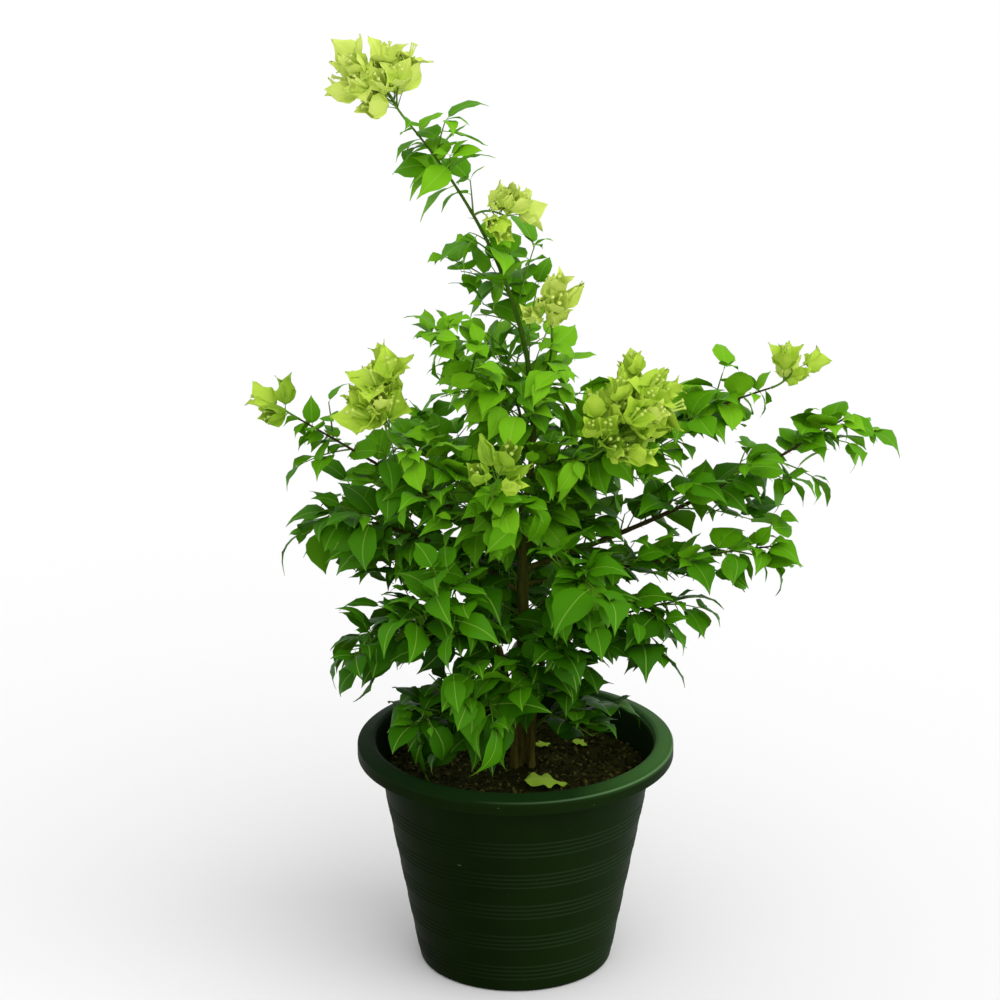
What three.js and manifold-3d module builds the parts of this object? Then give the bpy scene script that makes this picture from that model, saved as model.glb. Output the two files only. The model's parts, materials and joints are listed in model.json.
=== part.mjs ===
// A young bougainvillea bush in a round plastic nursery pot.
//
// Millimetres, +Z up. The origin is the middle of the pot's flat underside, +X is to the right as the
// plant is seen, and +Y is away from the viewer. A woody trunk and two thinner stems rise from the
// soil, boughs leave them, and each bough ends where a leafy or a flowering shoot begins. Every shoot
// keeps to its own space: the points that are nearer its own line than any other shoot's line.

import * as THREE from "three";
import { mergeVertices } from "three/addons/utils/BufferGeometryUtils.js";
import Module from "manifold-3d";

const wasm = await Module();
wasm.setup();

const DEGREE = Math.PI / 180;
const FULL_TURN = 2 * Math.PI;
const GOLDEN_ANGLE = 137.5 * DEGREE;
const UP = new THREE.Vector3(0, 0, 1);

// Pot: a tapered shell with a lip that slopes out and turns down, and five raised bands
const POT_HEIGHT = 225;
const RIM_RADIUS = 150;
const LIP_INNER_RADIUS = 133;
const LIP_CREASE = 220.7;
const LIP_BOTTOM = 208.2;
const LIP_UNDERSIDE = 217;
const LIP_ROUNDING = 1.2;
const BASE_RADIUS = 91.1;
const WALL_SLOPE = 0.1906;
const BASE_BEVEL = 2;
const WALL = 2.6;
const FLOOR = 4;
const POT_SIDES = 32;
const BAND_COUNT = 5;
const BAND_FIRST = 21.5;
const BAND_PITCH = 34.6;
const BAND_WIDTH = 12;
const BAND_PROUD = 0.9;
const DRAIN_COUNT = 6;
const DRAIN_RADIUS = 5;
const DRAIN_CIRCLE = 60;
const DRAIN_SIDES = 8;

// Soil: it fills the pot to well below the rim, and rises a little at the wall
const SOIL_LEVEL = 187;
const SOIL_FLAT_RADIUS = 104;
const SOIL_EDGE_RISE = 3;
const GAP = 0.3;
const SLEEVE = 0.38;

// Wood
const TRUNK_SIDES = 8;
const TRUNK_STEPS = 8;
const BOUGH_SIDES = 5;
const BOUGH_STEPS = 3;
const SHOOT_SIDES = 4;
const SHOOT_STEP = 42;
const TWIG_SIDES = 3;
const FLARE_HEIGHT = 26;
const FLARE_SHARE = 0.45;
const SHOOT_TIP_RADIUS = 1.65;
const TWIG_RADIUS = 1.15;
const TWIG_TIP_RADIUS = 0.9;
const HANDLE = 0.5;
const BLOOM_STEM_RADIUS = 2.15;

// Foliage: nodes follow each other up a shoot, each with a leaf and, a little further on, a side twig.
// A pair of values is a range that the seeded numbers draw from.
const INTERNODE = 21;
const FIRST_NODE = 0.03;
const LAST_NODE = 0.98;
const NODE_TURN = 0.6;
const TRIES = 6;
const TRY_TURN = 75 * DEGREE;
const TRY_SHRINK = 0.05;

const LEAF_WIDTH = 0.7;
const LEAF_WIDEST = 0.42;
const LEAF_THICKNESS = 0.028;
const LEAF_APART = 5;
const LEAF_OUTWARD = 0.85;
const LEAF_FORWARD = 0.45;
const TIP_LEAF_FORWARD = 1.4;
const LEAF_LIFT = [-0.4, 0.4];
const LEAF_DROOP = [30 * DEGREE, 90 * DEGREE];
const LEAF_SIZE = [0.84, 1.14];
const LEAF_ROLL = [-0.7, 0.7];
const LEAF_DWINDLE = 0.24;
const ROOT_DEPTH = 0.3;

const TWIG_INTERNODE = 17;
const TWIG_LENGTH = [46, 92];
const TWIG_DWINDLE = 0.45;
const TWIG_OFFSET = 0.4;
const TWIG_TURN = [0.75 * Math.PI, 1.25 * Math.PI];
const TWIG_OUTWARD = 0.8;
const TWIG_FORWARD = 0.65;
const TWIG_LIFT = [0.05, 0.4];
const TWIG_SAG = 0.1;
const TWIG_SHRINK = 0.1;
const TWIG_LEAF_SIZE = 0.96;
const TWIG_LEAF_DWINDLE = 0.2;
const TWIG_FIRST_LEAF = 0.22;
const TWIG_LAST_LEAF = 0.97;

// The space that a shoot keeps to
const SPACE_RADIUS = 92;
const SPACE_MARGIN = 2;
const LIMB_CLEARANCE = 1.6;
const POT_CLEARANCE = 4;
const LINE_STEPS = 8;

// Blossom: each head is three papery bracts, which stand round the end of a thin stalk like a cup
const BRACT_LENGTH = 33;
const BRACT_WIDTH = 0.8;
const BRACTS = 3;
const HEAD_RADIUS = 0.62;
const BELLY = { radius: 0.4, height: 0.3 };
const NOTCH = { radius: 0.72, depth: 0.4 };
const STALK_RADIUS = 1.1;
const HEAD_WALL = 0.12;
const HEAD_SPACING = 0.95;
const HEAD_OUTWARD = 0.8;
const HEAD_FORWARD = 0.55;
const HEAD_LIFT = [0.15, 0.5];
const HEAD_SIZE = [0.82, 1.12];
const HEAD_REACH = [0.3, 1];
const FIRST_HEAD = 0.25;
const LAST_HEAD = 0.98;

// Rows of values as objects with the named fields, each with the same further fields
function table(fields, rows, shared) {
  return rows.map((row) => ({ ...shared, ...Object.fromEntries(fields.map((field, i) => [field, row[i]])) }));
}

// Stems that rise from the soil: where each stands, where its tip is, and its radius at the two ends
const STEMS = [
  { name: "trunk", foot: [7, 27], azimuth: 70, reach: 22, height: 448, radius: 6.6, tipRadius: 4.9 },
  { name: "stem_left", foot: [-1, 12], azimuth: 205, reach: 17, height: 319, radius: 3.5, tipRadius: 2.7 },
  { name: "stem_right", foot: [15, 13], azimuth: -12, reach: 27, height: 311, radius: 3.3, tipRadius: 2.6 },
];

// Shoots: the parent and how far along it each begins, then where its tip is, as azimuth in degrees
// from +X, reach from the pot's axis and height. rise is the angle at which it starts, bare is the
// share of it that is a woody bough, and leaf is the length of its largest leaves.
const SHOOT_FIELDS = ["name", "parent", "at", "azimuth", "reach", "height", "rise", "bare", "radius", "leaf"];
const SHOOTS = table(SHOOT_FIELDS, [
  ["leader", "trunk", 0.985, 176, 98, 825, 78, 0.32, 4.3, 66],
  ["high_left", "leader", 0.18, 186, 72, 630, 46, 0.13, 2.3, 54],
  ["high_right", "leader", 0.28, 8, 34, 618, 52, 0.11, 2.2, 56],
  ["crown_left", "trunk", 0.9, 200, 112, 528, 46, 0.13, 3.0, 66],
  ["far_left", "trunk", 0.83, 178, 200, 540, 34, 0.14, 3.1, 58],
  ["mid_left", "trunk", 0.66, 172, 176, 440, 40, 0.12, 3.0, 70],
  ["low_left", "stem_left", 0.93, 196, 142, 345, 34, 0.1, 2.5, 72],
  ["rim_left", "stem_left", 0.42, 222, 124, 272, 38, 0.12, 2.2, 70],
  ["front_left", "stem_left", 0.8, 236, 132, 412, 52, 0.11, 2.5, 76],
  ["front_low", "stem_right", 0.5, 246, 108, 306, 48, 0.1, 2.2, 76],
  ["front_high", "trunk", 0.87, 258, 100, 502, 55, 0.13, 2.7, 66],
  ["front_right", "stem_right", 0.9, 300, 128, 434, 55, 0.11, 2.5, 74],
  ["low_right", "stem_right", 0.97, -10, 152, 372, 42, 0.12, 2.4, 62],
  ["rim_right", "stem_right", 0.3, -24, 58, 274, 50, 0.12, 2.0, 60],
  ["mid_right", "trunk", 0.7, -7, 240, 428, 16, 0.2, 2.8, 54],
  ["long_right", "trunk", 0.76, 3, 306, 538, 20, 0.3, 3.8, 62],
  ["high_long_right", "trunk", 0.94, 8, 240, 562, 42, 0.13, 3.2, 64],
  ["crown_right", "leader", 0.06, -40, 74, 520, 58, 0.12, 2.8, 62],
  ["back_high", "leader", 0.12, 96, 100, 577, 50, 0.11, 2.6, 66],
  ["back_left", "trunk", 0.79, 132, 152, 486, 42, 0.12, 2.9, 72],
  ["back_right", "trunk", 0.82, 48, 154, 480, 42, 0.12, 2.9, 72],
  ["back_low", "trunk", 0.5, 92, 140, 356, 40, 0.12, 2.7, 74],
], { heads: 0 });
const LEADER_HEADING = 5;

// Flowering shoots, the same way: heads is how many may be set, and spread their longest stalk. Those
// that grow on from a parent's tip (at is 1) start in its direction.
const BLOOM_FIELDS = ["name", "parent", "at", "azimuth", "reach", "height", "rise", "heads", "spread"];
const BLOOMS = table(BLOOM_FIELDS, [
  ["bloom_top", "leader", 1, 173, 124, 866, 0, 20, 38],
  ["bloom_leader_mid", "leader", 0.76, 190, 8, 738, 40, 6, 22],
  ["bloom_leader_low", "high_right", 1, 0, 26, 656, 0, 8, 22],
  ["bloom_left", "crown_left", 1, 192, 106, 606, 0, 14, 34],
  ["bloom_right", "crown_right", 1, -16, 126, 584, 0, 20, 40],
  ["bloom_front", "front_high", 1, 262, 108, 526, 0, 4, 20],
  ["bloom_far_left", "far_left", 1, 178, 218, 552, 0, 3, 14],
  ["bloom_far_right", "high_long_right", 1, 9, 262, 576, 0, 6, 26],
], { bare: 0, radius: BLOOM_STEM_RADIUS });

// Bracts that have dropped on the soil: where each lies, which way it points and how long it is
const FALLEN = [
  { name: "fallen_bract_front", at: [7, -30], heading: 8, length: 44 },
  { name: "fallen_bract_middle", at: [18, 52], heading: 40, length: 24 },
  { name: "fallen_bract_right", at: [54, 66], heading: -30, length: 20 },
];

// The same numbers every time: a linear congruential generator with a stated start
function seeded(start) {
  let state = (start * 7919 + 104729) % 4294967296;
  return () => {
    state = (state * 1664525 + 1013904223) % 4294967296;
    return state / 4294967296;
  };
}

function between([low, high], random) {
  return low + (high - low) * random();
}

function seedOf(name) {
  return [...name].reduce((sum, letter) => (sum * 31 + letter.charCodeAt(0)) % 65521, 7);
}

function polar(azimuth, reach, height) {
  const a = azimuth * DEGREE;
  return new THREE.Vector3(reach * Math.cos(a), reach * Math.sin(a), height);
}

// Turns a closed three.js geometry into a solid that can be joined and cut
function solidFrom(geometry) {
  const bare = geometry.clone();
  bare.deleteAttribute("normal");
  bare.deleteAttribute("uv");
  const merged = mergeVertices(bare, 1e-4);
  return new wasm.Manifold(
    new wasm.Mesh({
      numProp: 3,
      vertProperties: new Float32Array(merged.attributes.position.array),
      triVerts: new Uint32Array(merged.index.array),
    }),
  );
}

function geometryFrom(solid) {
  const mesh = solid.getMesh();
  const places = new Float32Array(mesh.numVert * 3);
  for (let i = 0; i < mesh.numVert; i++) {
    places.set(mesh.vertProperties.subarray(i * mesh.numProp, i * mesh.numProp + 3), i * 3);
  }
  const geometry = new THREE.BufferGeometry();
  geometry.setAttribute("position", new THREE.BufferAttribute(places, 3));
  geometry.setIndex(new THREE.BufferAttribute(new Uint32Array(mesh.triVerts), 1));
  const faceted = geometry.toNonIndexed();
  faceted.computeVertexNormals();
  return faceted;
}

// Joins many solids in pairs, so that no join is between one small and one very large solid
function fuse(solids) {
  let round = solids;
  while (round.length > 1) {
    const next = [];
    for (let i = 0; i < round.length; i += 2) {
      next.push(i + 1 < round.length ? round[i].add(round[i + 1]) : round[i]);
    }
    round = next;
  }
  return round[0];
}

function largestPiece(solid) {
  return solid.decompose().reduce((best, piece) => (piece.volume() > best.volume() ? piece : best));
}

// A unit vector at right angles to a direction, turned round it by an angle
function aside(direction, turn) {
  const reference = Math.abs(direction.z) < 0.9 ? UP : new THREE.Vector3(1, 0, 0);
  const first = new THREE.Vector3().crossVectors(direction, reference).normalize();
  const second = new THREE.Vector3().crossVectors(direction, first);
  return first.multiplyScalar(Math.cos(turn)).addScaledVector(second, Math.sin(turn));
}

// A limb: a cylinder whose rings are moved onto a curve and scaled to the radius there
function limbSolid(curve, from, to, radiusAt, sides, steps) {
  const geometry = new THREE.CylinderGeometry(1, 1, 1, sides, steps);
  const position = geometry.attributes.position;
  for (let i = 0; i < position.count; i++) {
    const t = from + (to - from) * (position.getY(i) + 0.5);
    const along = curve.getTangent(t);
    const across = aside(along, 0);
    const third = new THREE.Vector3().crossVectors(along, across);
    const place = curve.getPoint(t);
    place.addScaledVector(across, -position.getX(i) * radiusAt(t));
    place.addScaledVector(third, position.getZ(i) * radiusAt(t));
    position.setXYZ(i, place.x, place.y, place.z);
  }
  return solidFrom(geometry);
}

// The midrib of a blade is an arc that starts along its direction and bends towards its back
function midrib(blade, share) {
  const bend = blade.droop;
  const forward = (blade.length * Math.sin(bend * share)) / bend;
  const back = (blade.length * (1 - Math.cos(bend * share))) / bend;
  return blade.base.clone().addScaledVector(blade.along, forward).addScaledVector(blade.normal, -back);
}

function bladeNormal(blade, share) {
  const angle = blade.droop * share;
  return blade.normal.clone().multiplyScalar(Math.cos(angle)).addScaledVector(blade.along, Math.sin(angle));
}

// A blade of six faces: its root, its tip and its two edges, with a raised midrib between the edges
function bladeSolid(blade) {
  const half = (blade.length * blade.width) / 2;
  const waist = midrib(blade, LEAF_WIDEST);
  const corners = [
    blade.base.clone().addScaledVector(blade.along, -ROOT_DEPTH),
    midrib(blade, 1),
    waist.clone().addScaledVector(blade.side, half),
    waist.clone().addScaledVector(blade.side, -half),
    waist.clone().addScaledVector(bladeNormal(blade, LEAF_WIDEST), LEAF_THICKNESS * blade.length),
  ];
  const [root, tip, left, right, top] = [0, 1, 2, 3, 4];
  const faces = [
    [root, left, top], [root, top, right], [root, right, left],
    [tip, top, left], [tip, right, top], [tip, left, right],
  ];
  return new wasm.Manifold(new wasm.Mesh({
    numProp: 3,
    vertProperties: new Float32Array(corners.flatMap((corner) => corner.toArray())),
    triVerts: new Uint32Array(faces.flat()),
  }));
}

// The pot's outer radius at a height above its underside
function wallRadius(height) {
  return BASE_RADIUS + WALL_SLOPE * height;
}

function distanceToLine(point, line) {
  let best = Infinity;
  const segment = new THREE.Line3();
  const nearest = new THREE.Vector3();
  for (let i = 0; i + 1 < line.length; i++) {
    segment.set(line[i], line[i + 1]);
    segment.closestPointToPoint(point, true, nearest);
    best = Math.min(best, nearest.distanceTo(point));
  }
  return best;
}

// The curve of a shoot: it leaves its parent in a stated direction and ends at its tip
function shootCurve(start, tip, direction) {
  const control = start.clone().addScaledVector(direction, HANDLE * start.distanceTo(tip));
  return new THREE.QuadraticBezierCurve3(start, control, tip);
}

function startDirection(shoot, start, tip) {
  const isLeader = shoot.name === "leader";
  const heading = isLeader ? LEADER_HEADING : Math.atan2(tip.y - start.y, tip.x - start.x) / DEGREE;
  const flat = Math.cos(shoot.rise * DEGREE);
  return polar(heading, flat, Math.sin(shoot.rise * DEGREE));
}

function lineOf(curve, from, to, steps) {
  return Array.from({ length: steps + 1 }, (_, i) => curve.getPoint(from + ((to - from) * i) / steps));
}

// First the wood is laid out, so that leaves can be kept clear of all of it
const limbs = new Map();

for (const stem of STEMS) {
  const foot = new THREE.Vector3(stem.foot[0], stem.foot[1], SOIL_LEVEL + GAP);
  const tip = polar(stem.azimuth, stem.reach, stem.height);
  const curve = shootCurve(foot, tip, UP);
  const flare = (t) => {
    const height = Math.max(0, 1 - (t * (stem.height - SOIL_LEVEL)) / FLARE_HEIGHT);
    return 1 + FLARE_SHARE * height * height;
  };
  const radiusAt = (t) => (stem.radius + (stem.tipRadius - stem.radius) * t) * flare(t);
  limbs.set(stem.name, { ...stem, curve, radiusAt, bare: 1, sides: TRUNK_SIDES, steps: TRUNK_STEPS });
}

for (const shoot of [...SHOOTS, ...BLOOMS]) {
  const parent = limbs.get(shoot.parent);
  const grownOn = shoot.at === 1;
  const start = parent.curve.getPoint(shoot.at);
  const tip = polar(shoot.azimuth, shoot.reach, shoot.height);
  const direction = grownOn ? parent.curve.getTangent(1) : startDirection(shoot, start, tip);
  if (grownOn) start.addScaledVector(direction, GAP);
  const curve = shootCurve(start, tip, direction);
  const thick = grownOn ? SHOOT_TIP_RADIUS : shoot.radius;
  const radiusAt = (t) => thick + (SHOOT_TIP_RADIUS - thick) * t;
  const bare = shoot.bare;
  const span = curve.getLength();
  const leafyFrom = bare > 0 ? bare + GAP / span : 0;
  const runs = Math.max(2, Math.round((span * (1 - bare)) / SHOOT_STEP));
  limbs.set(shoot.name, {
    ...shoot, grownOn, curve, radiusAt, bare, leafyFrom, runs, sides: BOUGH_SIDES, steps: BOUGH_STEPS,
  });
}

const woodLines = [];
const shootLines = [];
for (const limb of limbs.values()) {
  if (limb.bare > 0) {
    const line = lineOf(limb.curve, 0, limb.bare, LINE_STEPS);
    woodLines.push({ name: limb.name, radius: limb.radiusAt(0), line });
  }
  if (limb.bare < 1) {
    shootLines.push({ name: limb.name, line: lineOf(limb.curve, limb.bare, 1, LINE_STEPS) });
  }
}

// A place is free for a shoot when it is nearest that shoot's line, and clear of wood, pot and soil
function isFree(point, name, ownLine) {
  const own = distanceToLine(point, ownLine);
  if (own > SPACE_RADIUS) return false;
  for (const other of shootLines) {
    if (other.name !== name && distanceToLine(point, other.line) < own + SPACE_MARGIN) return false;
  }
  for (const wood of woodLines) {
    if (distanceToLine(point, wood.line) < wood.radius + LIMB_CLEARANCE) return false;
  }
  const radial = Math.hypot(point.x, point.y);
  if (radial < wallRadius(SOIL_LEVEL) - WALL - POT_CLEARANCE) return point.z > SOIL_LEVEL + POT_CLEARANCE;
  if (radial < RIM_RADIUS + POT_CLEARANCE) return point.z > POT_HEIGHT + POT_CLEARANCE;
  return point.z > POT_HEIGHT / 2;
}

function bladePoints(blade) {
  const points = [];
  for (const share of [0.3, 0.45, 0.6, 0.8, 1]) {
    const half = (blade.length * blade.width * Math.sin(Math.PI * Math.sqrt(share))) / 2;
    const centre = midrib(blade, share);
    points.push(centre);
    if (share < 1) {
      points.push(centre.clone().addScaledVector(blade.side, half));
      points.push(centre.clone().addScaledVector(blade.side, -half));
    }
  }
  return points;
}

// A leaf stands out from its twig, tips forward along it, and droops along its length. It is turned
// round the twig and made a little smaller until it fits its space, or left out.
function leafAt(base, along, turn, forward, length, random, fits, taken) {
  const lift = between(LEAF_LIFT, random);
  const droop = between(LEAF_DROOP, random);
  const size = length * between(LEAF_SIZE, random);
  const roll = between(LEAF_ROLL, random);
  for (let attempt = 0; attempt < TRIES; attempt++) {
    const direction = aside(along, turn + attempt * TRY_TURN).multiplyScalar(LEAF_OUTWARD);
    direction.addScaledVector(along, forward).addScaledVector(UP, lift).normalize();
    const side = new THREE.Vector3().crossVectors(direction, UP).normalize();
    side.applyAxisAngle(direction, roll);
    const normal = new THREE.Vector3().crossVectors(side, direction);
    const shrunk = size * (1 - TRY_SHRINK * attempt);
    const blade = { base, along: direction, side, normal, length: shrunk, width: LEAF_WIDTH, droop };
    const points = bladePoints(blade);
    if (!points.every((point) => fits(point))) continue;
    taken.push(...points);
    return blade;
  }
  return null;
}

// A side twig and its leaves. It is turned and shortened until it fits its space, or left out.
function twigAt(node, along, turn, length, leafLength, random, fits, taken) {
  const lift = between(TWIG_LIFT, random);
  let leafTurn = random() * FULL_TURN;
  for (let attempt = 0; attempt < TRIES; attempt++) {
    const direction = aside(along, turn + attempt * TRY_TURN).multiplyScalar(TWIG_OUTWARD);
    direction.addScaledVector(along, TWIG_FORWARD).addScaledVector(UP, lift).normalize();
    const reach = length * (1 - TWIG_SHRINK * attempt);
    const tip = node.clone().addScaledVector(direction, reach).addScaledVector(UP, -TWIG_SAG * reach);
    const curve = new THREE.LineCurve3(node.clone(), tip);
    const points = [0.35, 0.6, 0.8, 1].map((t) => curve.getPoint(t));
    if (!points.every((point) => fits(point))) continue;
    taken.push(...points);
    const ahead = curve.getTangent(0.5);
    const leaves = [];
    const count = Math.max(2, Math.round(reach / TWIG_INTERNODE));
    for (let j = 1; j <= count; j++) {
      const t = TWIG_FIRST_LEAF + ((TWIG_LAST_LEAF - TWIG_FIRST_LEAF) * j) / count;
      const forward = j === count ? TIP_LEAF_FORWARD : LEAF_FORWARD;
      const size = leafLength * (1 - TWIG_LEAF_DWINDLE * (j / count));
      leafTurn += GOLDEN_ANGLE;
      leaves.push(leafAt(curve.getPoint(t), ahead, leafTurn, forward, size, random, fits, taken));
    }
    return { curve, leaves: leaves.filter((leaf) => leaf) };
  }
  return null;
}

// A point on the straight run between two rings of a shoot's stem, at a share of the whole shoot
function onStem(limb, t) {
  const run = (1 - limb.leafyFrom) / limb.runs;
  const ring = Math.min(limb.runs - 1, Math.max(0, Math.floor((t - limb.leafyFrom) / run)));
  const from = limb.leafyFrom + ring * run;
  return limb.curve.getPoint(from).lerp(limb.curve.getPoint(from + run), (t - from) / run);
}

function growFoliage(shoot) {
  const line = shootLines.find((other) => other.name === shoot.name).line;
  const taken = [];
  const fits = (point) => isFree(point, shoot.name, line)
    && taken.every((other) => other.distanceTo(point) > LEAF_APART);
  const span = shoot.curve.getLength() * (1 - shoot.bare);
  const count = Math.max(4, Math.round(span / INTERNODE));
  const growth = { twigs: [], leaves: [] };
  for (let k = 1; k <= count; k++) {
    const random = seeded(seedOf(shoot.name) + 97 * k);
    const share = k / count;
    const t = shoot.bare + (1 - shoot.bare) * (FIRST_NODE + (LAST_NODE - FIRST_NODE) * share);
    const along = shoot.curve.getTangent(t);
    const turn = k * GOLDEN_ANGLE + random() * NODE_TURN;
    const size = shoot.leaf * (1 - LEAF_DWINDLE * share);
    const forward = k === count ? TIP_LEAF_FORWARD : LEAF_FORWARD;
    const leaf = leafAt(onStem(shoot, t), along, turn, forward, size, random, fits, taken);
    if (leaf) growth.leaves.push(leaf);
    if (k === count) continue;
    const opposite = turn + between(TWIG_TURN, random);
    const length = between(TWIG_LENGTH, random) * (1 - TWIG_DWINDLE * share);
    const node = onStem(shoot, t + (TWIG_OFFSET * (1 - shoot.bare)) / count);
    const twig = twigAt(node, along, opposite, length, size * TWIG_LEAF_SIZE, random, fits, taken);
    if (!twig || twig.leaves.length === 0) continue;
    growth.twigs.push(twig);
    growth.leaves.push(...twig.leaves);
  }
  return growth;
}

// A head and its stalk: a lathed funnel of six sides, whose rim is drawn into three tips
function headSolid(head) {
  const { size, stalk } = head;
  const section = [
    [0, 0],
    [STALK_RADIUS, stalk],
    [BELLY.radius * size, stalk + BELLY.height * size],
    [HEAD_RADIUS * size, stalk + size],
    [0, stalk + HEAD_WALL * size],
  ];
  const lathe = new THREE.LatheGeometry(section.map(([r, z]) => new THREE.Vector2(r, z)), 2 * BRACTS);
  const position = lathe.attributes.position;
  const across = aside(head.axis, head.turn);
  const third = new THREE.Vector3().crossVectors(head.axis, across);
  for (let i = 0; i < position.count; i++) {
    const x = position.getX(i);
    const y = position.getZ(i);
    const sector = Math.round((Math.atan2(x, y) / Math.PI) * BRACTS);
    const notched = Math.hypot(x, y) > 0.5 * size && Math.abs(sector) % 2 === 1;
    const spread = notched ? NOTCH.radius : 1;
    const height = position.getY(i) - (notched ? NOTCH.depth * size : 0);
    const place = head.root.clone().addScaledVector(head.axis, height - ROOT_DEPTH);
    place.addScaledVector(across, spread * y).addScaledVector(third, spread * x);
    position.setXYZ(i, place.x, place.y, place.z);
  }
  return solidFrom(lathe);
}

function headPoints(head) {
  const points = [];
  for (const height of [0.3, 0.65, 1]) {
    for (let i = 0; i < 2 * BRACTS; i++) {
      const radial = aside(head.axis, head.turn + (FULL_TURN * i) / (2 * BRACTS));
      const reach = head.size * HEAD_RADIUS * Math.sqrt(height);
      const point = head.end.clone().addScaledVector(head.axis, height * head.size);
      points.push(point.addScaledVector(radial, reach));
    }
  }
  return points;
}

// Heads leave the last part of the shoot on short stalks, and each keeps clear of those before it
function growBloom(shoot) {
  const line = shootLines.find((other) => other.name === shoot.name).line;
  const fits = (point) => isFree(point, shoot.name, line);
  const growth = { heads: [] };
  const centres = [];
  for (let k = 1; k <= shoot.heads; k++) {
    const random = seeded(seedOf(shoot.name) + 89 * k);
    const t = FIRST_HEAD + ((LAST_HEAD - FIRST_HEAD) * k) / shoot.heads;
    const node = onStem(shoot, t);
    const along = shoot.curve.getTangent(t);
    const length = shoot.spread * between(HEAD_REACH, random);
    const lift = between(HEAD_LIFT, random);
    const size = BRACT_LENGTH * between(HEAD_SIZE, random);
    const roll = FULL_TURN * random();
    for (let attempt = 0; attempt < TRIES; attempt++) {
      const axis = aside(along, k * GOLDEN_ANGLE + attempt * TRY_TURN).multiplyScalar(HEAD_OUTWARD);
      axis.addScaledVector(along, HEAD_FORWARD).addScaledVector(UP, lift).normalize();
      const end = node.clone().addScaledVector(axis, length * (1 - TWIG_SHRINK * attempt));
      const centre = end.clone().addScaledVector(axis, 0.6 * size);
      const head = { root: node, end, stalk: end.distanceTo(node), axis, size, turn: roll };
      if (centres.some((other) => other.distanceTo(centre) < HEAD_SPACING * size)) continue;
      if (!headPoints(head).every(fits)) continue;
      centres.push(centre);
      growth.heads.push(head);
      break;
    }
  }
  return growth;
}

function boxesMeet(a, b) {
  return [0, 1, 2].every((i) => a.min[i] <= b.max[i] && b.min[i] <= a.max[i]);
}

// Solids already placed, which a later leaf or twig must not touch unless it is of the same shoot
const placed = [];

function touches(solid, owner) {
  const box = solid.boundingBox();
  return placed.some((other) => other.owner !== owner
    && boxesMeet(box, other.box)
    && !other.solid.intersect(solid).isEmpty());
}

function place(solid, owner) {
  placed.push({ solid, owner, box: solid.boundingBox() });
  return solid;
}

// Materials by kind of surface
const MATERIALS = {
  pot: new THREE.MeshStandardMaterial({ name: "pot", color: 0x12301a, roughness: 0.5, metalness: 0 }),
  soil: new THREE.MeshStandardMaterial({ name: "soil", color: 0x2a1c10, roughness: 1, metalness: 0 }),
  bark: new THREE.MeshStandardMaterial({ name: "bark", color: 0x4d3a1c, roughness: 0.85, metalness: 0 }),
  foliage: new THREE.MeshStandardMaterial({ name: "foliage", color: 0x3a7d12, roughness: 0.5, metalness: 0 }),
  bracts: new THREE.MeshStandardMaterial({ name: "bracts", color: 0xb2cf3c, roughness: 0.7, metalness: 0 }),
};

const bush = new THREE.Group();
bush.name = "bougainvillea_bush";

function addMesh(name, solid, material) {
  const mesh = new THREE.Mesh(geometryFrom(solid), material);
  mesh.name = name;
  bush.add(mesh);
}

// The pot's section from the axis round the floor, wall and lip and back to the axis
function potSolid() {
  const section = [[0, 0], [BASE_RADIUS - BASE_BEVEL, 0], [wallRadius(BASE_BEVEL), BASE_BEVEL]];
  for (let i = 0; i < BAND_COUNT; i++) {
    const middle = BAND_FIRST + i * BAND_PITCH;
    section.push([wallRadius(middle - BAND_WIDTH / 2), middle - BAND_WIDTH / 2]);
    section.push([wallRadius(middle) + BAND_PROUD, middle]);
    section.push([wallRadius(middle + BAND_WIDTH / 2), middle + BAND_WIDTH / 2]);
  }
  section.push([wallRadius(LIP_UNDERSIDE), LIP_UNDERSIDE], [RIM_RADIUS - WALL, LIP_UNDERSIDE]);
  section.push([RIM_RADIUS - WALL, LIP_BOTTOM], [RIM_RADIUS, LIP_BOTTOM]);
  section.push([RIM_RADIUS, LIP_CREASE - LIP_ROUNDING], [RIM_RADIUS - LIP_ROUNDING, LIP_CREASE]);
  section.push([LIP_INNER_RADIUS + LIP_ROUNDING, POT_HEIGHT], [LIP_INNER_RADIUS, POT_HEIGHT - LIP_ROUNDING]);
  section.push([wallRadius(LIP_BOTTOM) - WALL, LIP_BOTTOM], [wallRadius(FLOOR) - WALL, FLOOR], [0, FLOOR]);
  const lathe = new THREE.LatheGeometry(section.map(([r, z]) => new THREE.Vector2(r, z)), POT_SIDES);
  lathe.rotateX(Math.PI / 2);
  let solid = solidFrom(lathe);
  for (let i = 0; i < DRAIN_COUNT; i++) {
    const angle = (FULL_TURN * i) / DRAIN_COUNT;
    const drill = new THREE.CylinderGeometry(DRAIN_RADIUS, DRAIN_RADIUS, 4 * FLOOR, DRAIN_SIDES);
    drill.rotateX(Math.PI / 2);
    drill.translate(DRAIN_CIRCLE * Math.cos(angle), DRAIN_CIRCLE * Math.sin(angle), FLOOR / 2);
    solid = solid.subtract(solidFrom(drill));
  }
  return solid;
}

function soilSolid() {
  const inside = (height) => wallRadius(height) - WALL - 2 * GAP;
  const edge = SOIL_LEVEL + SOIL_EDGE_RISE;
  const section = [
    [0, FLOOR + GAP],
    [inside(FLOOR), FLOOR + GAP],
    [inside(edge), edge],
    [SOIL_FLAT_RADIUS, SOIL_LEVEL],
    [0, SOIL_LEVEL],
  ];
  const lathe = new THREE.LatheGeometry(section.map(([r, z]) => new THREE.Vector2(r, z)), POT_SIDES);
  lathe.rotateX(Math.PI / 2);
  return solidFrom(lathe);
}

addMesh("pot", place(potSolid(), "pot"), MATERIALS.pot);
addMesh("soil", place(soilSolid(), "soil"), MATERIALS.soil);

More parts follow.
